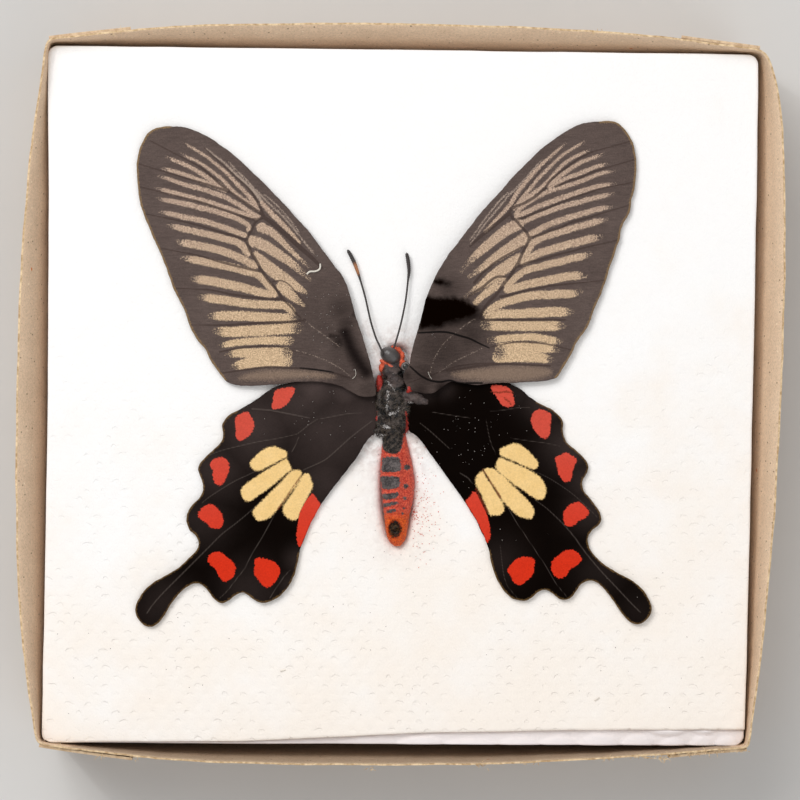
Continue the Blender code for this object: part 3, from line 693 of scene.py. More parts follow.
# %% Left hindwing spots
LEFT_REDS = [
  [(276, 390), (283, 388), (292, 387), (295, 388.5), (294, 393), (291, 398), (288, 403), (283, 407),
    (278, 409), (272, 408.5), (272, 405), (273, 399), (274, 394)],
  [(236, 417), (240, 414.5), (245, 412), (249, 412), (251, 416), (254, 421), (254, 427), (252, 432),
    (249, 436), (245, 438.5), (241, 441), (238, 440.5), (236, 436), (236, 430), (235, 423)],
  [(210, 464), (214, 459), (219, 457), (224, 457.5), (228, 461), (229.5, 466), (228.5, 473), (226, 479),
    (223, 483.5), (219.5, 485.5), (215, 482.5), (213, 477), (213, 470), (211, 467)],
  [(198, 514), (201, 509), (206, 505), (211, 504), (216, 506.5), (221, 512), (223.5, 518), (223, 524),
    (220, 528), (215, 528.5), (210, 527), (207, 523), (202, 520), (199, 517)],
  [(208, 558), (211, 553.5), (216, 551.5), (221, 552), (226, 556), (232, 561), (235.5, 566), (235, 573),
    (232, 578), (226, 581.5), (221, 579), (218, 574), (216, 569.5), (211, 565), (208, 561)],
  [(255, 559), (262, 558), (270, 560), (276, 563), (279.5, 568), (280.5, 573), (277, 579), (273, 584),
    (269, 587), (264, 586), (260, 582), (256, 576.5), (254, 571), (255, 565)],
  [(312, 493.5), (315, 496), (318, 500), (321, 505), (318, 511), (314, 518), (310, 525), (307, 532),
    (304, 539), (301.5, 545.5), (299.5, 547), (297.5, 543), (296.5, 536), (297, 529), (298.5, 520),
    (300, 513), (303, 506), (307, 499.5)]]
LEFT_CREAMS = [
  [(252, 468), (250, 463), (254, 458), (259, 453), (264, 449.5), (270, 447), (275, 446.5), (281, 449),
    (286, 451), (287.5, 455), (286, 457.5), (280, 460), (274, 463.5), (267, 467), (260, 470), (254, 470)],
  [(287, 459), (289, 463), (291.5, 468.5), (289, 471), (282, 477), (275, 483), (268, 489), (262, 493),
    (256, 497), (250, 501), (245, 500), (242, 495), (241, 490), (245, 485), (251, 480), (256, 477),
    (262, 473), (269, 469), (277, 464), (283, 460.5)],
  [(292, 471), (298, 470), (301, 471), (302, 474), (299, 480), (295, 487), (290, 493), (285, 500),
    (281, 505), (276, 511), (270, 517), (264, 520), (258, 520.5), (255, 517), (253, 512), (255, 508),
    (259, 504), (264, 499), (270, 493), (277, 486), (284, 479)],
  [(303, 475), (306, 473.5), (310, 475), (311, 480), (313, 484), (312, 489), (309, 494), (306, 500),
    (303, 506), (300, 512), (298, 518), (293, 520), (288, 518), (284, 513), (283, 508), (286, 502),
    (290, 497), (294, 491), (298, 484)]]
LEFT_BROWN_LINES = [(1.0, 1.4, 1.6, [(302, 474), (285, 499), (278, 509)])]
LEFT_GLINTS = [
  (1.2, 1.4, 1, [(252, 409), (262, 409.5), (272, 410.5), (285, 413), (300, 416), (310, 418)]),
  (1, 1.2, 1, [(372, 421), (360, 430), (350, 438), (340, 447), (330, 456), (323, 461), (310, 467),
    (303, 470)]),
  (0.8, 1, 0.8, [(318, 419), (310, 424), (300, 432), (297, 434)]),
  (0.8, 1, 0.8, [(297, 434), (280, 438), (262, 441), (250, 443.5), (235, 447), (220, 451), (210, 455)]),
  (0.8, 1, 0.8, [(299, 437), (296, 444), (292, 452)]),
  (0.8, 1, 0.8, [(320, 419), (335, 416), (350, 413.5), (362, 413)]),
  (0.8, 1, 0.8, [(258, 470), (250, 474), (235, 481), (220, 490), (208, 498), (202, 503)]),
  (0.8, 1.2, 1.2, [(263, 500), (255, 507), (246, 515), (235, 524), (222, 534), (210, 546), (200, 556),
    (190, 566), (178, 578), (165, 591), (155, 602), (147, 613)]),
  (0.8, 1, 0.8, [(284, 500), (278, 508), (270, 523), (262, 538), (253, 552), (245, 568), (238, 577),
    (228, 590), (220, 598)]),
  (0.8, 1, 0.8, [(290, 570), (283, 578), (275, 590), (270, 598)])]
print("the left hindwing has", len(LEFT_REDS), "red and", len(LEFT_CREAMS), "cream spots")

# %% Right hindwing spots
RIGHT_REDS = [
  [(491, 386), (496, 385), (503, 386), (508, 387.5), (511, 390), (513, 395), (514, 400), (514.5, 405),
    (510, 407), (506, 407), (501, 404), (498, 400), (495, 395), (492, 391)],
  [(537, 409.5), (541, 409.5), (546, 411.5), (551, 414), (551, 420), (550, 426), (550, 432), (548, 437),
    (544, 438.5), (539, 436), (535, 431), (532, 426), (530.5, 420), (532, 415)],
  [(555, 458), (560, 455), (566, 452.5), (571, 455), (577, 460), (574.5, 465), (572.5, 472), (571, 479),
    (566, 482.5), (562, 479), (558, 473), (557, 466)],
  [(563, 515), (564, 510.5), (568, 506), (573, 503), (579, 501.8), (583, 504.5), (587, 509), (589, 512),
    (587, 516), (583, 519), (578, 521), (574, 525), (570, 526.5), (566, 525.5), (563.5, 521)],
  [(551, 567), (552, 561), (556, 557), (561, 553), (566, 550), (571, 549.5), (576, 551.5), (580, 556),
    (581.5, 559.5), (578, 564), (574, 567), (569.5, 569), (568, 573), (563, 577.5), (559, 578.5),
    (554, 575), (551.5, 571)],
  [(507.5, 569), (511, 564), (515, 560), (519, 557.5), (525, 556.5), (531, 557.5), (534.5, 560),
    (534, 566), (534, 571), (531, 577), (527, 580), (523, 583.5), (519, 585), (514, 582), (511, 577),
    (508.5, 573)],
  [(474, 491), (476.5, 493), (479, 498), (482, 504), (485, 510), (487, 515), (489, 522), (490, 530),
    (490, 537), (488, 542.5), (486.5, 543), (484, 536), (480, 528), (476, 519), (471, 511.5), (466, 503),
    (465.5, 500), (470, 497), (471.5, 493.5)]]
RIGHT_CREAMS = [
  [(500, 449), (504, 447), (509, 445), (513, 443.5), (518, 444), (523, 447), (528, 451), (533, 456),
    (537, 461), (538, 465), (535, 469), (531, 468.5), (525, 466), (518, 463), (510, 459.5), (503, 456.5),
    (500, 455)],
  [(499, 458), (503, 459), (511, 462), (520, 466), (529, 470), (537, 475), (541, 479), (544.5, 484),
    (546, 490), (545, 495), (542, 499), (538, 499.5), (533, 497), (527, 493), (521, 488.5), (515, 485),
    (510, 481), (504, 476), (499, 472), (496, 468), (496, 464)],
  [(484, 469.5), (490, 468.5), (494, 469), (497, 471.5), (502, 475.5), (508, 481), (513, 486), (519, 492),
    (524, 496.5), (528, 501), (532, 506), (534, 511), (533, 516), (530, 518.5), (524, 517.5), (519, 516),
    (515, 513), (510, 508), (506, 504), (502, 499.5), (498, 493), (493, 486), (488, 477)],
  [(475, 480), (478, 474.5), (482, 471), (484, 473), (487, 479), (491, 485), (495, 491), (499, 497),
    (502, 502), (504, 507), (503, 512), (499, 514.5), (494, 515), (490, 515.5), (488, 511), (486, 506),
    (484, 501), (481, 494), (478, 489), (476, 485)]]
RIGHT_BROWN_LINES = [
  (1.2, 1.6, 2.5, [(483, 470), (492, 484), (500, 497)]),
  (1.5, 2, 2.5, [(476, 489), (481, 500), (487, 511)]),
  (1, 1.8, 1, [(491, 391.5), (499, 392.5), (506, 391.5), (513, 393)]),
  (1, 1.6, 1, [(504, 397.5), (508, 401), (511, 404.5)])]
RIGHT_GLINTS = [
  (0.8, 1, 0.8, [(420, 423), (430, 431), (440, 440), (450, 449)]),
  (0.8, 0.8, 0.8, [(432, 412), (450, 415), (470, 418)]),
  (0.6, 0.8, 0.6, [(486, 420), (490, 440), (496, 455)]),
  (0.6, 0.8, 0.6, [(490, 411), (500, 410.5), (510, 409), (520, 407.5), (530, 407.5)]),
  (1, 1.2, 0.8, [(460, 473), (465, 476), (468, 478), (473, 484)]),
  (0.8, 1.2, 1.2, [(535, 500), (545, 507), (555, 516), (565, 526), (575, 538), (585, 552), (600, 570),
    (615, 586), (630, 602), (640, 612)]),
  (0.6, 0.8, 0.6, [(510, 438), (530, 441), (545, 443), (560, 446)]),
  (0.6, 0.8, 0.6, [(530, 470), (545, 476), (560, 485), (575, 496), (590, 510), (598, 518)]),
  (0.6, 0.8, 0.6, [(505, 502), (515, 520), (525, 535), (535, 550), (545, 565), (555, 582), (567, 597)]),
  (0.6, 0.8, 0.6, [(500, 545), (505, 580), (517, 598)])]
print("the right hindwing has", len(RIGHT_REDS), "red and", len(RIGHT_CREAMS), "cream spots")

# %% [markdown]
# ## How the wings lie
#
# The wings lie almost flat on the tissues and climb to the thorax at their roots. The
# forewings overlap the hindwings, so they are lifted over them near the body and come down
# to the same level at their tips. These heights repeat those of the plain solids.

# %% Wing heights
WING_REST = 24.35
THORAX = place(393.5, 400)
THORAX_HALF_WIDTH = 3.3


def root_distance(x, y):
    return np.maximum(0, np.hypot(x - THORAX[0], (y - THORAX[1]) * 0.6) - THORAX_HALF_WIDTH)


def hindwing_rest(x, y):
    return WING_REST + 0.54 * np.exp(-(root_distance(x, y) / 6.5) ** 2)


def forewing_rest(x, y):
    out = root_distance(x, y)
    return WING_REST + np.exp(-(out / 32) ** 2) + 0.9 * np.exp(-(out / 6.5) ** 2)


print("at the root the forewing lies at", round(float(forewing_rest(*THORAX)), 2), "mm")

# %% [markdown]
# ## Filling an outline with triangles
#
# A wing is a thin membrane. Its upper side carries the pattern, so it is filled with a fine
# lattice of points, while a coarse one does for the underside. A constrained Delaunay
# triangulation joins the lattice to the outline, whatever its shape.

# %% Sheets from outlines
def lattice(low, high, pitch):
    """Points in staggered rows that fill a rectangle."""
    rows = []
    for count, y in enumerate(np.arange(low[1], high[1], pitch * 0.866)):
        x = np.arange(low[0] + pitch / 2 * (count % 2), high[0], pitch)
        rows.append(np.column_stack([x, np.full(len(x), y)]))
    return np.vstack(rows)


def filled(outline, pitch):
    """The outline's points and a lattice inside it, with the triangles between them."""
    spots = lattice(outline.min(axis=0), outline.max(axis=0), pitch)
    spots = spots[shape_depth(spots, outline[::2]) > 0.5 * pitch]
    spots = np.vstack([outline, spots])
    ring = [(count, (count + 1) % len(outline)) for count in range(len(outline))]
    joined = geometry.delaunay_2d_cdt([Vector(spot) for spot in spots], ring, [], 1, 1e-6)
    return np.array([tuple(spot) for spot in joined[0]]), [tuple(face) for face in joined[2]]


def ragged(outline, amount, seed):
    """The outline, moved in and out a little, and always running anticlockwise."""
    x, y = outline.T
    if (x * np.roll(y, -1) - np.roll(x, -1) * y).sum() < 0:
        outline = outline[::-1]
    run = np.roll(outline, -1, axis=0) - np.roll(outline, 1, axis=0)
    outward = np.column_stack([run[:, 1], -run[:, 0]]) / np.linalg.norm(run, axis=1)[:, None]
    x, y = outline.T
    push = soft_noise(x, y, 1.1, seed) + 0.8 * soft_noise(x, y, 0.4, seed + 1)
    return outline + outward * (amount * push)[:, None]


sample_points, sample_faces = filled(ragged(square, 0.02, 1), 1.0)
print("a 4 mm square is filled by", len(sample_faces), "triangles")

# %% [markdown]
# A whole wing is two such sheets, one over the other, joined round the edge. Its veins stand
# up from the upper side as low ridges.

# %% A whole wing
WING_LOW = 0.10             # the membrane's two sides over the wing's rest height
WING_HIGH = 0.24
VEIN_RIDGE = 0.09
RAGGED_EDGE = 0.045         # how far the edge wanders in and out
FOREWING_PITCH = 0.24       # millimetres between two points of the upper side
HINDWING_PITCH = 0.25
UNDERSIDE_PITCH = 1.4


def make_wing(name, drawn, rest, pitch, finish, slot, node, draw, seed):
    """A closed thin sheet with fields from draw(points), and a ridge along each vein."""
    edge = ragged(smooth_line(places(drawn), closed=True, step=0.25), RAGGED_EDGE, seed)
    high, high_faces = filled(edge, pitch)
    low, low_faces = filled(edge, UNDERSIDE_PITCH)
    points = np.vstack([high, low])
    fields = draw(points)
    count = len(high)
    sway = 0.07 * soft_noise(points[:, 0], points[:, 1], 9.0, 5)
    height = rest(points[:, 0], points[:, 1]) + sway
    height += np.where(np.arange(len(points)) < count, WING_HIGH, WING_LOW)
    height[:count] += VEIN_RIDGE * np.clip(fields["vein"][:count] / 0.25 + 0.6, 0, 1)
    faces = high_faces + [tuple(corner + count for corner in reversed(face)) for face in low_faces]
    for first in range(len(edge)):
        second = (first + 1) % len(edge)
        faces.append((first, first + count, second + count, second))
    make_piece(name, np.column_stack([points, height]), faces, finish, slot, node, fields)


print("a wing is", round(WING_HIGH - WING_LOW, 2), "mm thick")

# %% [markdown]
# ## The scales of the forewings
#
# Under a lens the scales are like roof tiles of dust: dark brown ones on the ground, beige
# ones in the stripes. They are warmest low on the wing and turn a dull pink towards the tip.
# A fringe of golden hair edges the outer margin, and the root is darkened by painted shade,
# near black in a bar on the right wing. Every border is roughened by the grain of the scales,
# which is about 0.2 mm.

# %% Forewing finish
def forewing_finish():
    scales = Finish("forewing_scales", roughness=0.6)
    grain = scales.noise(0.2, detail=3.0)
    pleats = scales.noise((1.6, 0.3, 1.6), detail=2.0)
    jitter = scales.swing(grain, 0.7)
    stripe = scales.edge("stripe", jitter, -0.16, 0.15)
    blotch = scales.swing(scales.noise(1.6, detail=4.0), 1.8)
    thin = scales.edge("thin", jitter, -0.12, 0.14)
    vein = scales.step(scales.field("vein"), -0.10, 0.05)
    fringe = scales.edge("fringe", jitter, -0.42, -0.20)
    # soot is painted shade: a near-black bar where no sheen of light lies on the wing
    soot = scales.step(scales.plus(scales.plus(scales.field("soot"), blotch), jitter), -0.8, 0.6)
    tan = scales.edge("tan", scales.times(jitter, 2.5), -0.6, 0.7)
    # the ground's grey-brown holds a painted sheen of light over the dark brown scales
    ground = scales.mix(scales.noise(6.0), srgb(80, 66, 61), srgb(97, 83, 77))
    # painted shade: the ground turns near black where the shade marks lie
    ground = scales.mix(scales.field("shade"), ground, srgb(24, 18, 17))
    ground = scales.scaled(ground, scales.plus(scales.times(pleats, 0.7), 0.65))
    high_pale = scales.mix(scales.step(grain, 0.3, 0.7), srgb(152, 127, 112), srgb(198, 172, 150))
    low_pale = scales.mix(scales.step(grain, 0.3, 0.7), srgb(182, 152, 120), srgb(218, 189, 152))
    pale = scales.mix(scales.field("warmth"), high_pale, low_pale)
    colour = scales.mix(scales.times(thin, 0.75), ground, srgb(180, 160, 144))
    colour = scales.mix(scales.times(tan, 0.55), colour, srgb(152, 128, 108))
    lacking = scales.times(scales.field("sparse"), 0.62)
    cover = scales.step(scales.minus(grain, lacking), 0.02, 0.26)
    colour = scales.mix(scales.times(stripe, cover), colour, pale)
    rib = scales.mix(scales.field("shade"), srgb(66, 52, 47), srgb(34, 27, 25))
    colour = scales.mix(scales.times(vein, 0.8), colour, rib)
    # painted shade: near-black lines with no rib
    colour = scales.mix(scales.step(scales.field("shade_line"), -0.12, 0.04), colour, srgb(14, 9, 8))
    colour = scales.mix(soot, colour, srgb(9, 3, 1))
    colour = scales.mix(scales.times(fringe, 0.7), colour, srgb(146, 118, 80))
    colour = scales.scaled(colour, scales.plus(grain, 0.5))
    scales.bump(scales.plus(grain, scales.times(pleats, 0.8)), 0.05)
    bare = scales.minus(1.0, scales.math("MAXIMUM", soot, scales.field("shade")))
    return scales.wear(Base_Color=colour, Specular_IOR_Level=scales.times(bare, 0.12))


forewing_scales = forewing_finish()
print("the forewing finish has", len(forewing_scales.node_tree.nodes), "nodes")

# %% [markdown]
# The finish reads ten fields. Stripes, lines, veins and painted shade lines are depths in lines,
# and the painted shade bar and the tan streak are depths in outlines. Soft round marks say where
# shade is painted on the ground and where the pale powder has worn thin, which it also has at
# each stripe's outer end.

# %% Fields of a forewing
POWDER_RADIUS = 9           # the thin powder at a stripe's outer end, in pixels
POWDER_LOSS = 0.8


def blots(points, marks):
    """How strongly soft round marks, each (u, v, radius in pixels, strength), cover each point."""
    cover = np.zeros(len(points))
    for u, v, radius, strength in marks:
        away = np.linalg.norm(points - place(u, v), axis=1) / (radius * PIXEL)
        cover = np.maximum(cover, strength * np.exp(-away ** 2))
    return cover


def streak(knots, radius, strength):
    """Soft marks in a row, close enough to melt into one streak."""
    return [(*spot, radius, strength) for spot in smooth_line(knots, step=3)]


def margin_depth(points, drawn, start, stop):
    """Distance to the part of an outline between two of its places, as a negative depth."""
    part = places(drawn[drawn.index(start):drawn.index(stop) + 1])
    return line_depth(points, smooth_line(np.column_stack([part, np.zeros(len(part))])))


def forewing_fields(stripes, cell_stripes, thin_lines, veins, shade_lines,
                    drawn, margin, soot, tan, shade, dusk):
    """What draws a forewing's fields on its points."""
    thin_powder = [(*line[3][0], POWDER_RADIUS, POWDER_LOSS) for line in stripes]

    def draw(points):
        return {"stripe": deepest(points, stripe_lines(stripes) + tapered_lines(cell_stripes)),
                "thin": deepest(points, tapered_lines(thin_lines)),
                "vein": deepest(points, tapered_lines(veins) + to_margin(veins)) - 0.05,
                "shade_line": deepest(points, tapered_lines(shade_lines)),
                "fringe": margin_depth(points, drawn, *margin),
                "warmth": np.clip((34 - points[:, 1]) / 24, 0, 1),
                "soot": deepest_shape(points, soot, limit=-2.5),
                "tan": deepest_shape(points, [tan]),
                "shade": blots(points, shade),
                "sparse": blots(points, dusk + thin_powder)}
    return draw


print("each stripe thins out over", round(POWDER_RADIUS * PIXEL, 2), "mm at its outer end")

# %% Painted shade and worn powder of the forewings
# painted shade: outlines of near-black bars, none on the left wing
LEFT_SHADE_BARS = []
RIGHT_SHADE_BARS = [
  [(424, 299), (436, 298), (447, 297.5), (464, 300), (473, 305), (477, 312), (468, 318), (450, 323),
    (436, 327), (419, 327)],
  [(433, 280), (447, 281), (450, 285), (436, 285)]]
# soft marks of painted shade, darkest at the roots
LEFT_PAINTED_SHADE = streak([(345, 333), (350, 346), (357, 359), (366, 372)], 10, 0.97)
LEFT_PAINTED_SHADE += [
    (340, 341, 11, 0.85), (346, 324, 12, 0.65), (341, 310, 17, 0.55), (328, 332, 24, 0.35),
    (316, 318, 36, 0.25), (312, 355, 26, 0.2), (338, 354, 15, 0.4), (345, 380, 26, 0.4),
    (368, 390, 16, 0.5), (330, 290, 28, 0.15)]
LEFT_PAINTED_SHADE += streak([(331, 336), (339, 336.5), (346, 334)], 4, 0.85) + [(354, 315, 4, 0.7)]
RIGHT_PAINTED_SHADE = [
    (440, 350, 34, 0.6), (470, 334, 20, 0.65), (425, 376, 22, 0.62), (500, 330, 12, 0.2),
    (440, 268, 14, 0.22), (420, 391, 12, 0.75), (442, 388, 10, 0.9), (407, 376, 9, 0.7),
    (448, 288, 15, 0.5)]
RIGHT_PAINTED_SHADE += streak([(432, 324), (446, 321), (460, 320), (476, 316)], 10, 0.85)
LEFT_DUSK = [
    (314, 270, 24, 0.85), (306, 300, 16, 0.7), (325, 300, 26, 0.8), (308, 240, 14, 0.5),
    (290, 247, 17, 0.4), (284, 264, 15, 0.3), (280, 276, 12, 0.3), (298, 298, 12, 0.4),
    (298, 318, 11, 0.8), (301, 329, 13, 0.85), (294, 342, 12, 0.75), (289, 352, 11, 0.7),
    (291, 364, 11, 0.6)]
RIGHT_DUSK = [
    (466, 268, 20, 0.8), (466, 294, 16, 0.8), (450, 280, 22, 0.8), (484, 312, 10, 0.6),
    (478, 235, 14, 0.4), (489, 241, 12, 0.3), (500, 284, 8, 0.5), (494, 252, 10, 0.2), (484, 325, 11, 0.8),
    (489, 341, 11, 0.85), (498, 352, 12, 0.75)]
LEFT_TAN = [
    (240, 379), (250, 373), (270, 370), (295, 370), (318, 372), (335, 376), (322, 378), (300, 378),
    (270, 380)]
RIGHT_TAN = [
    (551, 374), (545, 368), (520, 366), (495, 367), (470, 370), (452, 374), (462, 378.5), (490, 381),
    (530, 380)]
# the sooty marks of this print are painted shade
print("the roots of the forewings have", len(LEFT_PAINTED_SHADE), "and", len(RIGHT_PAINTED_SHADE), "sooty marks")

# %% Forewings
draw_left = forewing_fields(
    LEFT_STRIPES, LEFT_CELL_STRIPES, LEFT_THIN_LINES, LEFT_VEINS, LEFT_SHADE_LINES,
    LEFT_FOREWING, ((170, 126.5), (225, 380)), LEFT_SHADE_BARS, LEFT_TAN, LEFT_PAINTED_SHADE, LEFT_DUSK)
make_wing("left_forewing", LEFT_FOREWING, forewing_rest, FOREWING_PITCH, forewing_scales,
          "forewing_scales", "forewing_left", draw_left, seed=11)
draw_right = forewing_fields(
    RIGHT_STRIPES, RIGHT_CELL_STRIPES, RIGHT_THIN_LINES, RIGHT_VEINS, RIGHT_SHADE_LINES,
    RIGHT_FOREWING, ((600, 121.8), (556, 378)), RIGHT_SHADE_BARS, RIGHT_TAN, RIGHT_PAINTED_SHADE, RIGHT_DUSK)
make_wing("right_forewing", RIGHT_FOREWING, forewing_rest, FOREWING_PITCH, forewing_scales,
          "forewing_scales", "forewing_right", draw_right, seed=21)

# %% [markdown]
# ## The scales of the hindwings
#
# The hindwings are nearly black, made a little greyer towards the front by a painted sheen, and
# the red and cream spots have a ragged, powdery edge. Each vein catches a hair-thin glint.

# %% Hindwing finish
def hindwing_finish():
    scales = Finish("hindwing_scales", roughness=0.55)
    grain = scales.noise(0.26, detail=3.0)
    jitter = scales.swing(grain, 0.8)
    red = scales.edge("red", jitter, -0.07, 0.08)
    cream = scales.edge("cream", jitter, -0.2, 0.17)
    brown = scales.edge("brown", jitter, -0.10, 0.10)
    glint = scales.step(scales.field("vein"), -0.10, 0.03)
    fringe = scales.edge("fringe", jitter, -0.34, -0.14)
    # painted sheen: the black ground turns grey where the sheen of the light lies
    ground = scales.mix(scales.field("painted_sheen"), srgb(9, 4, 2), srgb(66, 54, 51))
    ground = scales.scaled(ground, scales.plus(scales.times(scales.noise(5.0), 0.7), 0.65))
    colour = scales.mix(scales.times(glint, 0.24), ground, srgb(122, 110, 102))
    creams = scales.mix(scales.noise(2.2), srgb(232, 192, 122), srgb(246, 210, 148))
    colour = scales.mix(cream, colour, creams)
    reds = scales.mix(scales.field("front"), srgb(211, 50, 26), srgb(206, 78, 62))
    reds = scales.mix(scales.noise(1.6), scales.scaled(reds, 0.92), scales.scaled(reds, 1.08))
    colour = scales.mix(red, colour, reds)
    colour = scales.mix(scales.times(brown, 0.8), colour, srgb(104, 44, 28))
    colour = scales.mix(scales.times(fringe, 0.6), colour, srgb(120, 92, 56))
    colour = scales.scaled(colour, scales.plus(scales.times(grain, 0.5), 0.75))
    scales.bump(grain, 0.05)
    sheen = scales.plus(scales.times(scales.field("painted_sheen"), 0.08), 0.015)
    return scales.wear(Base_Color=colour, Specular_IOR_Level=sheen)


hindwing_scales = hindwing_finish()
print("the hindwing finish has", len(hindwing_scales.node_tree.nodes), "nodes")


# %% Hindwings
def hindwing_fields(reds, creams, browns, glints, drawn, margin, painted_sheen):
    """What draws a hindwing's fields on its points."""
    def draw(points):
        y = points[:, 1]
        return {"red": deepest_shape(points, reds),
                "cream": deepest_shape(points, creams),
                "brown": deepest(points, tapered_lines(browns)),
                "vein": deepest(points, tapered_lines(glints)) - 0.03,
                "fringe": margin_depth(points, drawn, *margin),
                "painted_sheen": blots(points, painted_sheen),
                "front": np.clip((y + 30) / 24, 0, 1)}
    return draw


# soft marks of painted sheen, each (u, v, radius in pixels, strength)
LEFT_PAINTED_SHEEN = [
    (365, 420, 40, 0.68), (330, 430, 50, 0.62), (300, 400, 40, 0.7), (315, 386, 26, 1), (345, 386, 22, 1),
    (255, 425, 40, 0.7), (215, 470, 30, 0.5), (298, 560, 14, 0.35), (290, 585, 14, 0.3),
    (200, 520, 30, 0.3), (165, 605, 30, 0.25), (250, 590, 30, 0.3), (325, 480, 30, 0.5)]
RIGHT_PAINTED_SHEEN = [
    (570, 445, 26, 0.55), (545, 400, 22, 0.5), (585, 480, 20, 0.4), (590, 510, 22, 0.4),
    (640, 610, 26, 0.12), (600, 570, 26, 0.2), (425, 386, 12, 0.6), (445, 389, 10, 0.3),
    (500, 560, 24, 0.2), (520, 395, 16, 0.25)]
draw_left = hindwing_fields(LEFT_REDS, LEFT_CREAMS, LEFT_BROWN_LINES, LEFT_GLINTS,
                            LEFT_HINDWING, ((237, 411), (299.5, 553)), LEFT_PAINTED_SHEEN)
make_wing("left_hindwing", LEFT_HINDWING, hindwing_rest, HINDWING_PITCH, hindwing_scales,
          "hindwing_scales", "hindwing_left", draw_left, seed=31)
draw_right = hindwing_fields(RIGHT_REDS, RIGHT_CREAMS, RIGHT_BROWN_LINES, RIGHT_GLINTS,
                             RIGHT_HINDWING, ((537, 402), (489, 551)), RIGHT_PAINTED_SHEEN)
make_wing("right_hindwing", RIGHT_HINDWING, hindwing_rest, HINDWING_PITCH, hindwing_scales,
          "hindwing_scales", "hindwing_right", draw_right, seed=41)

# %% [markdown]
# ## The tray of folded board
#
# The tray is one sheet of kraft board, folded up at four sides. Its walls bow outward at the
# rim, and the ends of two of them are folded round the corners as tabs. The main sheet is made
# like a wound strip: rings of points run round the tray, from the middle of the underside out,
# up the outer face, over the cut rim, down the inner face and back to the middle.

# %% The tray's rings
TRAY_HEIGHT = 26.0
BOARD = 0.5
FOLD_CORNERS = [(45, 41), (764, 51), (749, 749), (36, 746)]
RIM_CORNERS = [(48, 40), (761, 50), (748, 747.5), (38, 743)]
WALL_BOWS = [(3.7, 0.49), (4.9, 0.34), (3.5, 0.56), (4.55, 0.47)]
BOW_POWER = 2.6
FLARES = [6.0, 4.5, 0.7, 6.0]       # how late each wall turns outward on its way up
RING_SIDE = 180             # points along one wall


def bow_shape(along, peak):
    """From 0 at the corners to 1 where a wall bows most."""
    even = np.clip(along, 0, 1) ** (math.log(0.5) / math.log(peak))
    return 1 - np.abs(2 * even - 1) ** BOW_POWER


def wall_line(side, along, up):
    """Places along a wall's outer face at one height, as shares of its length and height."""
    fold = places([FOLD_CORNERS[side], FOLD_CORNERS[(side + 1) % 4]])
    rim = places([RIM_CORNERS[side], RIM_CORNERS[(side + 1) % 4]])
    run = (fold[1] - fold[0]) / np.linalg.norm(fold[1] - fold[0])
    ends = fold + (rim - fold) * up
    bow, peak = WALL_BOWS[side]
    outward = np.array([-run[1], run[0]])
    flat = ends[0] + (ends[1] - ends[0]) * along[:, None]
    return flat + outward * (bow * up ** FLARES[side] * bow_shape(along, peak))[:, None]


def tray_ring(up, inward):
    """A ring round the tray, its corners rounded and its walls a little wavy."""
    along = np.arange(RING_SIDE) / RING_SIDE
    ring = np.vstack([wall_line(side, along, up) for side in range(4)])
    for _ in range(3):
        ring = (np.roll(ring, 1, axis=0) + 2 * ring + np.roll(ring, -1, axis=0)) / 4
    run = np.roll(ring, -1, axis=0) - np.roll(ring, 1, axis=0)
    outward = np.column_stack([-run[:, 1], run[:, 0]]) / np.linalg.norm(run, axis=1)[:, None]
    x, y = ring.T
    wave = up * (0.12 * soft_noise(x, y, 7.0, 61) + 0.05 * soft_noise(x, y, 1.5, 62))
    return ring + outward * (wave - inward)[:, None]


print("a ring round the tray has", len(tray_ring(1.0, 0.0)), "points")

# %% [markdown]
# The board's cut rim is paler and rougher than its faces, and it frays. The rim's height
# wanders by a tenth of a millimetre, and small loose fibres stand on it in a few places.

# %% Kraft board
def kraft_finish():
    board = Finish("kraft_board", roughness=0.85)
    fibre = board.noise((0.4, 0.4, 0.25), detail=5.0, roughness=0.8)
    colour = board.mix(board.noise(4.0), srgb(212, 182, 152), srgb(232, 204, 174))
    colour = board.scaled(colour, board.plus(fibre, 0.5))
    dark_fleck = board.flecks(1.7, 0.05, 0.13)
    colour = board.mix(board.times(dark_fleck, 0.75), colour, srgb(84, 60, 42))
    fine_fleck = board.flecks(0.6, 0.10, 0.22)
    colour = board.mix(board.times(fine_fleck, 0.3), colour, srgb(128, 98, 72))
    pale_fleck = board.flecks((2.3, 2.3, 1.6), 0.05, 0.11)
    colour = board.mix(board.times(pale_fleck, 0.6), colour, srgb(250, 232, 204))
    straw = board.flecks((9.0, 9.0, 5.0), 0.02, 0.05)
    colour = board.mix(board.times(straw, 0.9), colour, srgb(214, 110, 40))
    # painted shade: the lower wall's board is darkened, as it stands in shade
    colour = board.scaled(colour, board.minus(1.0, board.times(board.field("painted_shade"), 0.35)))
    torn = board.step(board.noise(0.9, detail=4.0), 0.3, 0.7)
    cut = board.mix(torn, srgb(184, 150, 110), srgb(242, 216, 176))
    colour = board.mix(board.step(board.field("rim"), 0.3, 0.7), colour, cut)
    board.bump(board.plus(fibre, board.noise(1.2)), 0.1)
    return board.wear(Base_Color=colour, Specular_IOR_Level=0.2)


kraft_board = kraft_finish()
print("the board's finish has", len(kraft_board.node_tree.nodes), "nodes")


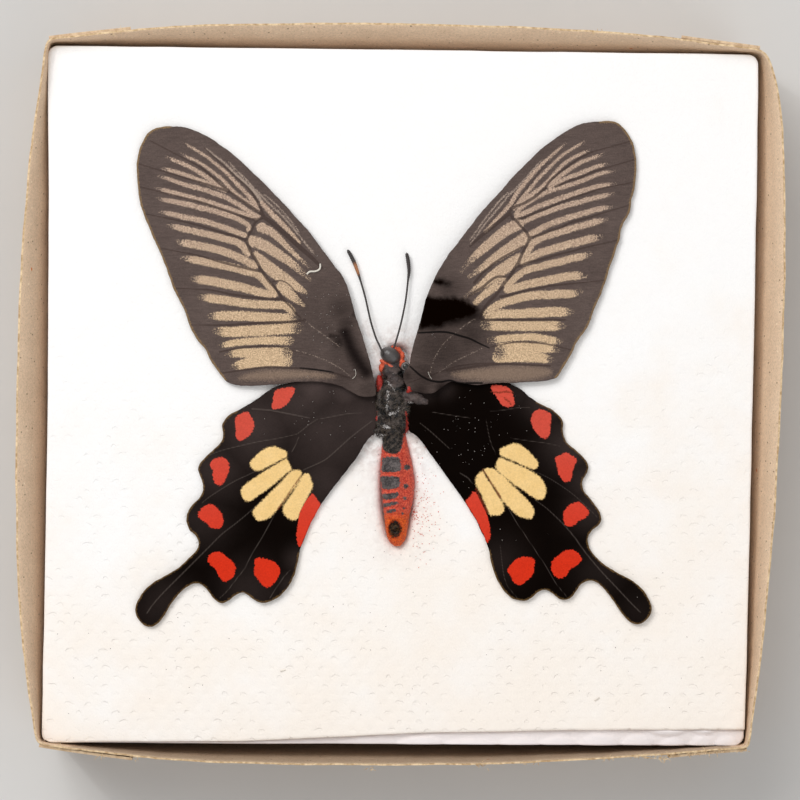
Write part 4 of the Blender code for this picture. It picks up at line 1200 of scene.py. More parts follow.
# %% Fibres and hairs
def strands(rng, roots, leans, radius, bend=0.12):
    """Thin bent hairs or fibres, each from its root along its lean, as points and faces."""
    points, faces = [], []
    for root, lean in zip(roots, leans):
        length = np.linalg.norm(lean)
        middle = root + lean / 2 + rng.normal(0, bend * length, 3)
        first = len(points)
        for spot, thick in ((root, radius), (middle, radius * 0.8)):
            for turn in range(3):
                angle = turn * 2 * math.pi / 3
                aside = np.array([math.cos(angle), math.sin(angle), 0.5 * math.sin(angle)])
                points.append(spot + thick * aside)
        points.append(root + lean)
        for turn in range(3):
            after = (turn + 1) % 3
            faces.append((first + turn, first + after, first + 3 + after, first + 3 + turn))
            faces.append((first + 3 + turn, first + 3 + after, first + 6))
    return points, faces


sample_strand = strands(np.random.default_rng(1), [np.zeros(3)], [np.ones(3)], 0.1)
print("a strand has", len(sample_strand[0]), "points")

# %% [markdown]
# Each ring of the main sheet is told how far up the wall it lies, how far inward of the outer
# face, its height in millimetres and how much of it is torn rim.

# %% The tray's main sheet
def make_tray():
    ups = np.linspace(0.03, 0.985, 24)
    rings = [(0.0, 40.0, 0.0, 0), (0.0, 12.0, 0.0, 0), (0.0, 0.5, 0.0, 0), (0.0, 0.15, 0.08, 0),
             (0.0, 0.0, 0.35, 0)]
    rings += [(up, 0.0, TRAY_HEIGHT * up, 0) for up in ups]
    rings += [(1.0, 0.03, TRAY_HEIGHT - 0.10, 0.3), (1.0, 0.12, TRAY_HEIGHT, 1),
              (1.0, 0.25, TRAY_HEIGHT - 0.03, 1), (1.0, 0.38, TRAY_HEIGHT, 0.5),
              (1.0, 0.48, TRAY_HEIGHT - 0.10, 0.2)]
    rings += [(up, BOARD, TRAY_HEIGHT * up, 0) for up in reversed(ups)]
    rings += [(0.02, BOARD, 0.9, 0), (0.0, 0.9, 0.55, 0), (0.0, 12.0, BOARD, 0), (0.0, 40.0, BOARD, 0)]
    points, rim = [], []
    for up, inward, z, share in rings:
        flat = tray_ring(up, inward)
        x, y = flat.T
        torn = share * (0.10 * soft_noise(x, y, 0.8, 71) + 0.10 * soft_noise(x, y, 4.0, 72) - 0.10)
        points.append(np.column_stack([flat, z + torn]))
        rim.append(np.full(len(flat), share))
    around = 4 * RING_SIDE
    points.append(np.array([(0.0, 0.0, 0.0), (0.0, 0.0, BOARD)]))
    rim.append(np.zeros(2))
    faces = []
    for level in range(len(rings) - 1):
        for spot in range(around):
            after = (spot + 1) % around
            below = level * around
            faces.append((below + spot, below + around + spot, below + around + after, below + after))
    last = len(rings) * around
    for spot in range(around):
        after = (spot + 1) % around
        faces.append((last, spot, after))
        faces.append((last + 1, last - around + after, last - around + spot))
    return np.vstack(points), faces, np.concatenate(rim)


sheet_points, sheet_faces, sheet_rim = make_tray()
print("the main sheet has", len(sheet_points), "points")

# %% [markdown]
# The tabs lie on the outside of the upper and the lower wall, two on each. A tab is the number
# of its wall, and the shares of the wall's length where it starts and ends.

# %% Tabs
TABS = [(0, 0.003, 0.117), (0, 0.887, 0.997), (2, 0.003, 0.113), (2, 0.866, 0.997)]
TAB_FOOT = 0.05             # how far up the wall a tab starts, as a share of its height
TAB_GAP = 0.03


def make_tab(side, start, end):
    """A flap on the outer face of a wall, a closed sheet that stands off a little at its free end."""
    columns, rows = 48, 24
    grid = []
    for far in (False, True):
        for up in np.linspace(TAB_FOOT, 0.985, rows + 1):
            along = np.linspace(start, end, columns + 1)
            line = wall_line(side, along, up)
            run = np.gradient(line, axis=0)
            outward = np.column_stack([-run[:, 1], run[:, 0]]) / np.linalg.norm(run, axis=1)[:, None]
            free = np.linspace(0, 1, columns + 1) if start < 0.5 else np.linspace(1, 0, columns + 1)
            off = (BOARD if far else TAB_GAP) + 0.16 * free ** 4 * up
            z = TRAY_HEIGHT * up + 0.06 * soft_noise(line[:, 0], line[:, 1], 0.8, 75) * (up > 0.98)
            grid.append(np.column_stack([line + outward * off[:, None], z]))
    points = np.vstack(grid)
    face_points = (columns + 1) * (rows + 1)
    faces = []
    for row in range(rows):
        for column in range(columns):
            a = row * (columns + 1) + column
            b = a + columns + 1
            faces.append((a, b, b + 1, a + 1))
            faces.append((a + face_points, a + 1 + face_points, b + 1 + face_points, b + face_points))
    border = list(range(columns + 1))
    border += [row * (columns + 1) + columns for row in range(1, rows + 1)]
    border += [rows * (columns + 1) + column for column in range(columns - 1, -1, -1)]
    border += [row * (columns + 1) for row in range(rows - 1, 0, -1)]
    for first, second in zip(border, border[1:] + border[:1]):
        faces.append((first, second, second + face_points, first + face_points))
    rim = np.where(points[:, 2] > TRAY_HEIGHT * 0.975, 0.5, 0.0)
    return points, faces, rim


def joined(parts):
    """Several (points, faces) as one."""
    points, faces = [], []
    for part_points, part_faces in parts:
        first = len(points)
        points += [tuple(spot) for spot in part_points]
        faces += [tuple(corner + first for corner in face) for face in part_faces]
    return np.array(points), faces


tab_parts = [make_tab(*tab) for tab in TABS]
print("the tray has", len(tab_parts), "tabs")

# %% [markdown]
# Loose fibres stand on the rim where it frays most: each place has a number of fibres. The
# sheet, the tabs and the fibres are one mesh, and it is kept inside the plain model's box.

# %% The whole tray
FRAYED = [
    (607, 757, 12), (631, 756, 8), (645, 756, 16), (661, 757, 18), (672, 753, 16), (688, 752, 14),
    (704, 751, 14), (722, 750, 10), (740, 749, 10), (370, 767, 5), (535, 762, 6), (480, 765, 12),
    (105, 755, 9), (135, 757, 6), (60, 746, 6), (120, 35, 6), (600, 33, 6)]
rng = np.random.default_rng(81)
roots = []
for u, v, count in FRAYED:
    for _ in range(count):
        spot = place(u + rng.normal(0, 4), v + rng.normal(0, 0.8))
        roots.append(np.array([*spot, TRAY_HEIGHT - 0.1]))
fray = strands(rng, roots, rng.normal(0, 0.5, (len(roots), 3)) * (1, 1, 0.5), 0.08)
tray_parts = [(sheet_points, sheet_faces)] + [part[:2] for part in tab_parts] + [fray]
tray_points, tray_faces = joined(tray_parts)
box_low, box_high = np.array([cad_low[:2], cad_high[:2]]) / MM
tray_points[:, :2] = np.clip(tray_points[:, :2], box_low, box_high)
tray_rim = np.concatenate([sheet_rim] + [part[2] for part in tab_parts] + [np.ones(len(fray[0]))])
# the lower wall, from 4 mm up, is marked for painted shade
lower_wall_shade = np.clip((tray_points[:, 2] - 4) / 8, 0, 1) * (tray_points[:, 1] < place(0, 746)[1])
tray = make_piece("folded_tray", tray_points, tray_faces, kraft_board, "kraft_board", "tray",
                  {"rim": tray_rim, "painted_shade": lower_wall_shade})
tray.data.set_sharp_from_angle(angle=math.radians(50))

# %% [markdown]
# ## The tissues
#
# The pad is a stack of folded tissues and one more on top. Tissue is soft: its surface swells
# and dips, it is embossed with staggered rows of small dents, and it gives way under the body.
# The top tissue's front edge lies a few millimetres back, so the creased edge of the stack
# shows in front of it.

# %% Heights of the tissues
PAD_CORNERS = [(48, 46), (758, 55), (744, 746), (42, 743)]
SIDE_BOWS = (3.2, 1.2)      # how far the left and right edges bow to the right, in pixels
CORNER_SHARE = 0.014        # how much of a side each rounded corner takes
# soft marks, in pixels, where the body has crumpled the tissue and shade is painted round it
PRESSED_AND_SHADED = [
    (399, 350, 22, 1), (388, 366, 18, 0.8), (372, 350, 14, 0.85), (364, 332, 16, 0.6), (372, 372, 10, 1),
    (390, 440, 28, 0.8), (398, 470, 30, 0.68), (398, 500, 30, 0.62), (397, 535, 26, 0.5),
    (416, 444, 18, 0.85), (372, 444, 18, 0.85), (360, 460, 16, 0.5)]
STACK_TOP = 21.5


def pad_place(across, down):
    """Places on the pad, from shares across and down it. Its corners are rounded."""
    left, up = np.sign(0.5 - across), np.sign(0.5 - down)
    p = 1 - np.clip(np.minimum(across, 1 - across) / CORNER_SHARE, 0, 1)
    q = 1 - np.clip(np.minimum(down, 1 - down) / CORNER_SHARE, 0, 1)
    pull = 1 - np.maximum(p, q) / np.maximum(np.hypot(p, q), 1e-9)
    across = across + left * CORNER_SHARE * p * pull
    down = down + up * CORNER_SHARE * q * pull
    upper_left, upper_right, lower_right, lower_left = places(PAD_CORNERS)
    across, down = across[..., None], down[..., None]
    upper = upper_left + (upper_right - upper_left) * across
    lower = lower_left + (lower_right - lower_left) * across
    bow = (SIDE_BOWS[0] * (1 - across) + SIDE_BOWS[1] * across) * PIXEL * np.sin(np.pi * down ** 0.85)
    return upper + (lower - upper) * down + bow * (1.0, 0.0)


def bowl(x, y, centre, length, width):
    """1 under a body of that half length and half width, and a quick fall to 0 beside it."""
    across = (x - centre[0]) / width
    along = (y - centre[1]) / length
    return 1 / (1 + (across ** 2 + along ** 2) ** 6)


def hollow(x, y):
    """How deep the body presses the tissue down: deep under it, and shallow beside it."""
    rear = (place(394.5, 437) + place(398, 547)) / 2
    depth = np.zeros_like(x)
    presses = [(THORAX, 6.0, 3.3, 4.4), (place(398, 357.5), 2.2, 2.2, 3.2), (rear, 9.9, 3.05, 4.0)]
    for centre, length, width, deep in presses:
        beside = bowl(x, y, centre, length * 1.05, width * 1.05)
        under = bowl(x, y, centre, length * 0.86, width * 0.80)
        depth = np.maximum(depth, 0.9 * beside + (deep - 0.9) * under)
    return depth


EMBOSS_PITCH = 3.3          # millimetres between two dents of a row
EMBOSS_ROWS = 1.6           # millimetres between two rows


def dents(x, y):
    """Embossed dents in staggered rows, faint in places."""
    depth = np.zeros_like(x)
    for shift in (-1, 0, 1):
        row = np.floor(y / EMBOSS_ROWS) + shift
        column = np.floor(x / EMBOSS_PITCH + 0.5 * (row % 2))
        centre_x = (column + 0.5 - 0.5 * (row % 2)) * EMBOSS_PITCH
        centre_y = (row + 0.5) * EMBOSS_ROWS
        centre_x += 0.7 * soft_noise(centre_x, centre_y, 1.3, 91)
        centre_y += 0.35 * soft_noise(centre_x, centre_y, 1.1, 92)
        clear = np.clip(0.35 + 0.5 * soft_noise(centre_x, centre_y, 14.0, 93) - centre_y / 110, 0.08, 1)
        depth += clear * 0.12 * np.exp(-((x - centre_x) / 0.6) ** 2 - ((y - centre_y) / 0.5) ** 2)
    return depth


def wrinkles(x, y):
    """Soft puckers round the body, where the tissue is pressed down."""
    near = np.exp(-((np.hypot(x - THORAX[0], (y - THORAX[1] + 2) * 0.75) - 4) / 7) ** 2)
    ridge = 1 - 2 * np.abs(soft_noise(x, y, 2.6, 95))
    return near * (0.20 * ridge + 0.14 * soft_noise(x, y, 1.1, 96))


def top_height(x, y):
    swell = 0.16 * soft_noise(x, y, 17.0, 97) + 0.05 * soft_noise(x, y, 5.0, 98)
    return PAD_TOP - 0.14 - hollow(x, y) + swell - dents(x, y) + wrinkles(x, y)


print("the hollow is", round(float(hollow(*THORAX)), 1), "mm deep under the thorax")

# %% [markdown]
# A slab is a folded tissue, or a stack of them: a fine top, sides that swell once for each
# ply, and a coarse underside.

# %% A slab of tissue
# large embossed scallops of the lower tissue, each (u, v, half width, half height) in pixels
SCALLOPS = [
    (600, 749, 22, 15), (638, 752, 17, 19), (673, 752, 15, 13), (668, 726, 22, 11), (704, 726, 13, 10),
    (703, 752, 14, 16), (728, 750, 13, 13), (560, 748, 20, 12), (520, 748, 22, 10), (470, 749, 30, 9),
    (420, 746, 24, 10)]


def top_front(across):
    """How far down the pad the top tissue reaches, as a share. It lies askew on the stack."""
    return np.interp(across, (0, 0.28, 0.445, 0.52, 0.79, 1), (0.9985, 0.9955, 0.988, 0.983, 0.977, 0.976))


def make_slab(name, across, down, front, top, bottom, plies, finish, node, embossed):
    """A closed block with a fine top, sides that show its folded plies, and a coarse underside."""
    columns, rows = len(across) - 1, len(down) - 1
    wide = columns + 1
    across, down = np.meshgrid(across, down)
    flat = pad_place(across, down * front(across))
    x, y = flat[..., 0], flat[..., 1]
    points = [np.column_stack([x.ravel(), y.ravel(), top(x, y).ravel()])]
    faces = [(r * wide + c, (r + 1) * wide + c, (r + 1) * wide + c + 1, r * wide + c + 1)
             for r in range(rows) for c in range(columns)]
    border = [(c, 0) for c in range(wide)] + [(columns, r) for r in range(1, rows + 1)]
    border += [(c, rows) for c in range(columns - 1, -1, -1)] + [(0, r) for r in range(rows - 1, 0, -1)]
    sides = [((c == columns) - (c == 0), (r == 0) - (r == rows)) for c, r in border]
    outward = np.array(sides, dtype=float)
    edge = np.array([(x[r, c], y[r, c]) for c, r in border])
    high = top(edge[:, 0], edge[:, 1])
    low = bottom(edge[:, 0], edge[:, 1])
    levels = np.linspace(0, 1, plies * 3 + 1)[1:]
    ring = [r * wide + c for c, r in border]
    for level in levels:
        first = sum(len(part) for part in points)
        plump = 1 + 0.5 * soft_noise(edge[:, 0], edge[:, 1], 6.0, 99)
        swell = 0.14 * np.abs(np.sin(np.pi * plies * level)) * plump
        points.append(np.column_stack([edge + outward * swell[:, None], high + (low - high) * level]))
        below = list(range(first, first + len(border)))
        for spot in range(len(border)):
            after = (spot + 1) % len(border)
            faces.append((ring[spot], ring[after], below[after], below[spot]))
        ring = below
    lowest = dict(zip(border, ring))
    coarse = 5
    inner = [(c, r) for r in range(coarse, rows, coarse) for c in range(coarse, columns, coarse)]
    first = sum(len(part) for part in points)
    lowest.update({spot: first + count for count, spot in enumerate(inner)})
    under = np.array([(x[r, c], y[r, c]) for c, r in inner])
    points.append(np.column_stack([under, bottom(under[:, 0], under[:, 1])]))
    for r in range(0, rows, coarse):
        for c in range(0, columns, coarse):
            round_cell = [(c + k, r) for k in range(coarse)]
            round_cell += [(c + coarse, r + k) for k in range(coarse)]
            round_cell += [(c + coarse - k, r + coarse) for k in range(coarse)]
            round_cell += [(c, r + coarse - k) for k in range(coarse)]
            faces.append(tuple(lowest[spot] for spot in round_cell if spot in lowest))
    points = np.vstack(points)
    slab = make_piece(name, points, faces, finish, "tissue", node, {
        "pressed_and_shaded": blots(points[:, :2], PRESSED_AND_SHADED), "embossed": np.full(len(points), float(embossed))})


short = 1 - float(top_front(1.0))
print("on the right the top tissue ends", round(short * 127, 1), "mm short of the stack")

# %% [markdown]
# The tissue is white. Towards the lower right its colour is painted a little darker and creamier,
# as the light falls off there, and painted shade greys it round the body and on the stack. The
# embossing is drawn twice: as dents in the mesh, and as small arcs in the finish that fade in
# and out.

# %% Tissue finish
def emboss(paper):
    """1 on the small arcs in the middle of the embossed dents, and 0 beside them."""
    flat = paper.tree.nodes.new("ShaderNodeSeparateXYZ")
    paper.plug(flat.inputs[0], paper.stretched((EMBOSS_PITCH, EMBOSS_ROWS, 1.0)))
    wobble = paper.swing(paper.noise(3.0), 0.9)
    row = paper.plus(flat.outputs["Y"], wobble)
    sway = paper.swing(paper.noise(4.0), 1.1)
    odd = paper.math("FLOORED_MODULO", paper.math("FLOOR", row), 2.0)
    column = paper.plus(paper.plus(flat.outputs["X"], sway), paper.times(odd, 0.5))
    across = paper.minus(paper.math("FRACT", column), 0.5)
    up = paper.minus(paper.math("FRACT", row), 0.5)
    across = paper.math("POWER", paper.times(across, EMBOSS_PITCH / 0.62), 2.0)
    up = paper.plus(paper.times(up, EMBOSS_ROWS / 0.26), paper.times(across, 0.8))
    away = paper.plus(across, paper.math("POWER", up, 2.0))
    faint = paper.step(paper.noise(3.6, detail=1.0), 0.4, 0.62)
    return paper.times(paper.step(away, 1.5, 0.2), faint)


def tissue_finish():
    paper = Finish("tissue", roughness=0.95)
    fibre = paper.noise(0.35, detail=4.0)
    split = paper.tree.nodes.new("ShaderNodeSeparateXYZ")
    paper.plug(split.inputs[0], paper.stretched(127.0))
    # painted falloff of the light: darker and warmer towards the lower right
    painted_falloff = paper.minus(paper.times(split.outputs["X"], 0.25), split.outputs["Y"])
    painted_falloff = paper.step(paper.plus(painted_falloff, paper.noise(14.0)), 0.3, 1.1)
    colour = paper.mix(painted_falloff, srgb(254, 252, 250), srgb(252, 242, 231))
    colour = paper.scaled(colour, paper.plus(paper.times(fibre, 0.04), 0.97))
    # painted shade: the tissue is greyed round the body, in the shade of its hollow
    pressed_and_shaded = paper.times(paper.field("pressed_and_shaded"), paper.step(paper.noise(0.9, detail=4.0), 0.25, 0.7))
    colour = paper.mix(pressed_and_shaded, colour, srgb(212, 197, 190))
    # painted shade: the stack below the top tissue is painted greyer
    colour = paper.mix(paper.minus(1.0, paper.field("embossed")), colour, srgb(240, 232, 230))
    relief = paper.plus(paper.times(fibre, 0.3), paper.times(paper.noise(1.4), 0.3))
    relief = paper.plus(relief, paper.times(paper.field("pressed_and_shaded"), paper.noise(0.9, detail=4.0)))
    shown = paper.step(paper.minus(paper.noise(12.0), split.outputs["Y"]), 0.2, 0.9)
    arc = paper.times(emboss(paper), shown)
    arc = paper.times(arc, paper.times(paper.field("embossed"), 0.4))
    paper.bump(paper.minus(relief, arc), 0.22)
    return paper.wear(Base_Color=colour, Specular_IOR_Level=0.2)


tissue = tissue_finish()
print("the tissue's finish has", len(tissue.node_tree.nodes), "nodes")

# %% The two tissues
TISSUE_CELLS = 280
TOP_THICKNESS = 2.2
STACK_GAP = 0.3             # air between the tray's board and the stack
even = np.linspace(0, 1, TISSUE_CELLS + 1)
make_slab("top_tissue", even, even, top_front, top_height,
          lambda x, y: PAD_TOP - TOP_THICKNESS - hollow(x, y), 4, tissue, "napkin_top", embossed=True)


def stack_height(x, y):
    """The stack's top. It rises in front of the top tissue, with large embossed scallops there."""
    lower_right, lower_left = places(PAD_CORNERS)[2:]
    across = (x - lower_left[0]) / (lower_right[0] - lower_left[0])
    front = lower_left[1] + (lower_right[1] - lower_left[1]) * across
    depth = places(PAD_CORNERS)[0, 1] - lower_left[1]
    band = np.clip((front + depth * (1 - top_front(across)) + 0.1 - y) / 0.3, 0, 1)
    scallop = np.zeros_like(x)
    for u, v, half_width, half_height in SCALLOPS:
        centre = place(u, v)
        aside = (x - centre[0]) / (half_width * PIXEL)
        away = aside ** 2 + ((y - centre[1]) / (half_height * PIXEL)) ** 2
        scallop = np.maximum(scallop, np.sqrt(np.clip(1 - away, 0, 1)))
    return STACK_TOP - hollow(x, y) + band * (1.35 + 0.7 * scallop + 0.25 * soft_noise(x, y, 6.0, 102))


front_rows = np.concatenate([np.linspace(0, 0.955, 26)[:-1], np.linspace(0.955, 1, 22)])
make_slab("tissue_stack", even, front_rows, lambda across: 1 + 0 * across, stack_height,
          lambda x, y: BOARD + STACK_GAP + 0 * x, 9, tissue, "napkin_stack", embossed=False)

# %% [markdown]
# ## The abdomen
#
# The abdomen is red with black patches on the back of each segment, and its orange tip has
# dried and fallen in. Its sides are drawn in the picture, so the skin is lofted between them
# ring by ring. The patches are outlines on the upper side, like the spots of the wings.

# %% Abdomen places
ABDOMEN_LEVEL = 23.65
ABDOMEN_LEFT = [
    (389, 430), (384.5, 433), (383.4, 437), (382, 446), (381, 457), (380, 475), (381, 487), (382, 498),
    (383.5, 511), (385, 526), (386, 532), (387.5, 538), (390.5, 543), (394, 546)]
ABDOMEN_RIGHT = [
    (401, 430), (405, 433), (406.3, 437), (408, 446), (412, 462), (414.6, 480), (414.3, 490), (413, 501),
    (410, 514), (408, 527), (407, 533), (405.8, 538), (402.5, 544), (400, 546)]
SEGMENT_FOLDS = [453, 474, 490, 499.5, 507.5, 514, 520]
BLACK_PATCHES = [
  [(383, 458), (392, 456.5), (398, 457), (400.5, 459), (400.8, 466), (400, 471), (391, 472), (382, 471.5),
    (382, 464)],
  [(380.5, 476.5), (390, 476), (399, 477), (399.5, 483), (398, 487.5), (390, 489), (383, 488.5),
    (381, 483)],
  [(382.5, 494), (390, 493), (398, 492), (398, 496), (393, 498.5), (386, 499.5), (382, 498)],
  [(383.5, 503.5), (390, 502), (397, 501), (398, 503.5), (391, 505.5), (384, 507)],
  [(387, 510), (392, 509), (396, 508.5), (396, 511), (391, 512.5), (387, 512.5)]]
BLACK_DOTS = [(407, 467, 3.0), (406, 486, 2.5), (404.6, 498, 1.6), (404, 508, 1.2), (402.5, 513, 1.0)]
TIP_HOLE = (395, 529, 6.5, 8.8)
HAIRY_FRONT = [(383, 430), (402, 430), (403, 440), (400.5, 450), (396, 453.5), (388, 452.5), (383, 448)]
FLANK_SHADES = [(3, 4, 2, [(402.5, 456), (402, 472), (401.5, 488), (400, 500), (399, 512)])]
print("the abdomen has", len(BLACK_PATCHES), "black patches and", len(BLACK_DOTS), "dots")


# %% Abdomen mesh
def loft_abdomen():
    rows = np.concatenate([np.arange(430.0, 540.0, 0.7), np.linspace(540.0, 546.0, 12)])
    left = smooth_line(places(ABDOMEN_LEFT), step=0.2)
    right = smooth_line(places(ABDOMEN_RIGHT), step=0.2)
    levels = (MIDDLE[1] - rows) * PIXEL
    x_left = np.interp(-levels, -left[:, 1], left[:, 0])
    x_right = np.interp(-levels, -right[:, 1], right[:, 0])
    points = []
    turns = np.linspace(0, 2 * np.pi, 96, endpoint=False)
    hole_at, hole_size = place(*TIP_HOLE[:2]), np.array(TIP_HOLE[2:]) * PIXEL
    for row, y, start, stop in zip(rows, levels, x_left, x_right):
        half = (stop - start) / 2
        fold = sum(math.exp(-((row - crease) / 1.1) ** 2) for crease in SEGMENT_FOLDS)
        round_end = 0.9 + 0.1 * min(1.0, (546.5 - row) / 6)
        x = (start + stop) / 2 + half * (1 - 0.035 * fold) * np.cos(turns)
        rise = half * 0.86 * (1 - 0.06 * fold) * round_end * np.sin(turns)
        skin = 0.05 * soft_noise(x * 2 + 3 * np.sin(turns), np.full_like(x, y), 1.3, 111)
        skin += 0.03 * soft_noise(x + np.sin(turns), np.full_like(x, y), 0.35, 112)
        away = ((x - hole_at[0]) / hole_size[0]) ** 2 + ((y - hole_at[1]) / hole_size[1]) ** 2
        sunk = np.clip(1.15 - away, 0, 1) ** 0.6 * (np.sin(turns) > 0)
        rough = 1 + 0.6 * soft_noise(x, np.full_like(x, y), 0.42, 113)
        z = ABDOMEN_LEVEL + rise + (skin + 0.06 * (1 - fold)) * np.sin(turns) - 0.95 * sunk * rough
        points.append(np.column_stack([x, np.full_like(x, y), z]))
    count = len(turns)
    faces = [(ring * count + turn, ring * count + (turn + 1) % count,
              (ring + 1) * count + (turn + 1) % count, (ring + 1) * count + turn)
             for ring in range(len(rows) - 1) for turn in range(count)]
    faces.append(tuple(reversed(range(count))))
    faces.append(tuple(range((len(rows) - 1) * count, len(rows) * count)))
    return np.vstack(points), [tuple(reversed(face)) for face in faces]


def on_top(points, depth, level):
    """A depth field kept to the upper side."""
    return np.where(points[:, 2] > level, depth, -1.5)

skin_points, skin_faces = loft_abdomen()
print("the abdomen's skin has", len(skin_points), "points")

# %% [markdown]
# The red of the segments is mottled, and it turns orange towards the tip. The black patches
# are powdery at their borders, and the hole shows the brown inside of the dried skin.

# %% Abdomen finish
def abdomen_finish():
    skin = Finish("abdomen_skin", roughness=0.42)
    grain = skin.noise(0.3)
    jitter = skin.swing(grain, 1.0)
    black = skin.edge("black", jitter, -0.09, 0.07)
    shade = skin.edge("shade", jitter, -0.5, 0.3)
    hole = skin.edge("hole", skin.times(jitter, 1.6), -0.1, 0.15)
    red = skin.mix(skin.step(skin.noise(0.35), 0.3, 0.7), srgb(178, 38, 28), srgb(236, 102, 72))
    orange = skin.mix(skin.step(skin.noise(0.3), 0.3, 0.7), srgb(176, 44, 4), srgb(238, 104, 18))
    colour = skin.mix(skin.field("orange"), red, orange)
    colour = skin.mix(skin.times(shade, 0.35), colour, srgb(140, 40, 28))
    patch = skin.step(skin.plus(grain, skin.noise(1.3)), 0.75, 1.25)
    patch = skin.mix(patch, srgb(34, 30, 30), srgb(106, 97, 95))
    soot = skin.mix(skin.step(skin.noise(0.5, detail=4.0), 0.42, 0.66), srgb(12, 8, 7), srgb(92, 80, 70))
    colour = skin.mix(black, colour, skin.mix(skin.step(skin.field("sooty"), -0.2, 0.3), patch, soot))
    husk = skin.mix(skin.step(skin.noise(0.35), 0.45, 0.7), srgb(22, 12, 7), srgb(110, 78, 40))
    colour = skin.mix(hole, colour, husk)
    colour = skin.haired(colour, srgb(20, 18, 17), srgb(118, 108, 98))
    skin.bump(skin.plus(grain, skin.noise(0.12)), 0.12)
    return skin.wear(Base_Color=colour, Specular_IOR_Level=0.3)


abdomen_skin = abdomen_finish()
print("the abdomen's finish has", len(abdomen_skin.node_tree.nodes), "nodes")

# %% [markdown]
# Hairs are strands that root on random points of a skin and are all brushed one way. A field
# keeps each hair's own shade, so that the finish can tell it from the skin.

# %% Hair
def hair_roots(rng, points, chosen, count):
    """Random points of a mesh among the chosen ones."""
    return points[rng.choice(np.flatnonzero(chosen), count)]


def brushed(rng, count, towards, spread, length):
    """Leans of hairs that are brushed one way, with a spread."""
    leans = np.array(towards) + rng.normal(0, spread, (count, 3))
    leans /= np.linalg.norm(leans, axis=1)[:, None]
    return leans * rng.uniform(0.5 * length, 1.2 * length, count)[:, None]


HAIR_TOP = 26.6             # no hair stands higher than the plain body


def furred(parts, hair_shades):
    """Joins a skin and its hairs, with a field that is 0 on the skin and each hair's shade on it."""
    points, faces = joined(parts)
    points[:, 2] = np.minimum(points[:, 2], HAIR_TOP)
    hair = np.zeros(len(points))
    hair[len(parts[0][0]):] = np.repeat(hair_shades, 7)
    return points, faces, hair


print("no hair stands higher than", HAIR_TOP, "mm")

# %% Abdomen
FRONT_HAIRS = 420
rng = np.random.default_rng(121)
flat = skin_points[:, :2]
front_hair = (shape_depth(flat, places(HAIRY_FRONT)) > 0) & (skin_points[:, 2] > ABDOMEN_LEVEL)
roots = hair_roots(rng, skin_points, front_hair, FRONT_HAIRS)
hairs = strands(rng, roots, brushed(rng, FRONT_HAIRS, (0, -1, 0.25), 0.5, 0.7), 0.028)
points, faces, hair = furred([(skin_points, skin_faces), hairs], rng.beta(0.9, 3.5, FRONT_HAIRS))
flat = points[:, :2]
hole_away = (flat - place(*TIP_HOLE[:2])) / (np.array(TIP_HOLE[2:]) * PIXEL)
hole = 1 - np.hypot(hole_away[:, 0], hole_away[:, 1])
dots = np.max([radius * PIXEL - np.linalg.norm(flat - place(u, v), axis=1)
               for u, v, radius in BLACK_DOTS], axis=0)
black = np.maximum.reduce([deepest_shape(flat, BLACK_PATCHES), deepest_shape(flat, [HAIRY_FRONT]), dots])
abdomen_fields = {
    "black": on_top(points, black, ABDOMEN_LEVEL),
    "shade": on_top(points, deepest(flat, tapered_lines(FLANK_SHADES)), ABDOMEN_LEVEL),
    "hole": on_top(points, hole, ABDOMEN_LEVEL),
    "sooty": deepest_shape(flat, [HAIRY_FRONT]),
    "orange": np.clip((place(0, 508)[1] - flat[:, 1]) / 2.2, 0, 1),
    "hair": hair}
make_piece("segmented_abdomen", points, faces, abdomen_skin, "abdomen_skin", "abdomen",
           abdomen_fields)

# %% [markdown]
# ## Thorax and head
#
# The thorax is a dark lump of flight muscles under short hair, and a few smooth grey and
# brown plates lie on it. Such a form is quickest to model as clay: rounded lumps are pressed
# together and a voxel remesh melts them into one skin. Hairs are then brushed over it.

# %% Clay
def clay(lumps, voxel):
    """Rounded lumps, each (u, v, height, half sizes, turn in degrees), melted into one skin."""
    bm = bmesh.new()
    for u, v, height, half_sizes, turn in lumps:
        made = bmesh.ops.create_uvsphere(bm, u_segments=24, v_segments=14, radius=1.0)["verts"]
        spin = math.radians(turn)
        x, y = place(u, v)
        for vertex in made:
            a, b, c = (unit * size for unit, size in zip(vertex.co, half_sizes))
            turned_x = x + a * math.cos(spin) - b * math.sin(spin)
            turned_y = y + a * math.sin(spin) + b * math.cos(spin)
            vertex.co = (turned_x, turned_y, height + c)
    mesh = bpy.data.meshes.new("clay")
    bm.to_mesh(mesh)
    bm.free()
    shape = bpy.data.objects.new("clay", mesh)
    bpy.context.scene.collection.objects.link(shape)
    melt = shape.modifiers.new("Melt", "REMESH")
    melt.mode = "VOXEL"
    melt.voxel_size = voxel
    soften = shape.modifiers.new("Soften", "SMOOTH")
    soften.iterations = 3
    skin = bpy.data.meshes.new_from_object(shape.evaluated_get(bpy.context.evaluated_depsgraph_get()))
    bpy.data.objects.remove(shape, do_unlink=True)
    points = np.array([vertex.co[:] for vertex in skin.vertices])
    normals = np.array([vertex.normal[:] for vertex in skin.vertices])
    faces = [tuple(polygon.vertices) for polygon in skin.polygons]
    bpy.data.meshes.remove(skin)
    return points, faces, normals


def roughened(points, normals, amount, size, seed):
    """Moves a skin's points in and out at random."""
    x, y, z = points.T
    push = soft_noise(x + 0.7 * z, y - 0.7 * z, size, seed)
    return points + normals * (amount * push)[:, None]


moved = roughened(np.zeros((1, 3)), np.array([(0.0, 0.0, 1.0)]), 0.2, 0.8, 131)
print("roughening moves a point at the middle by", round(float(moved[0, 2]), 2), "mm")

# %% [markdown]
# The thorax is nineteen lumps. Red hair lies beside the wing roots, the plates are smooth, and
# pale painted glints mark where dry scales catch the light.

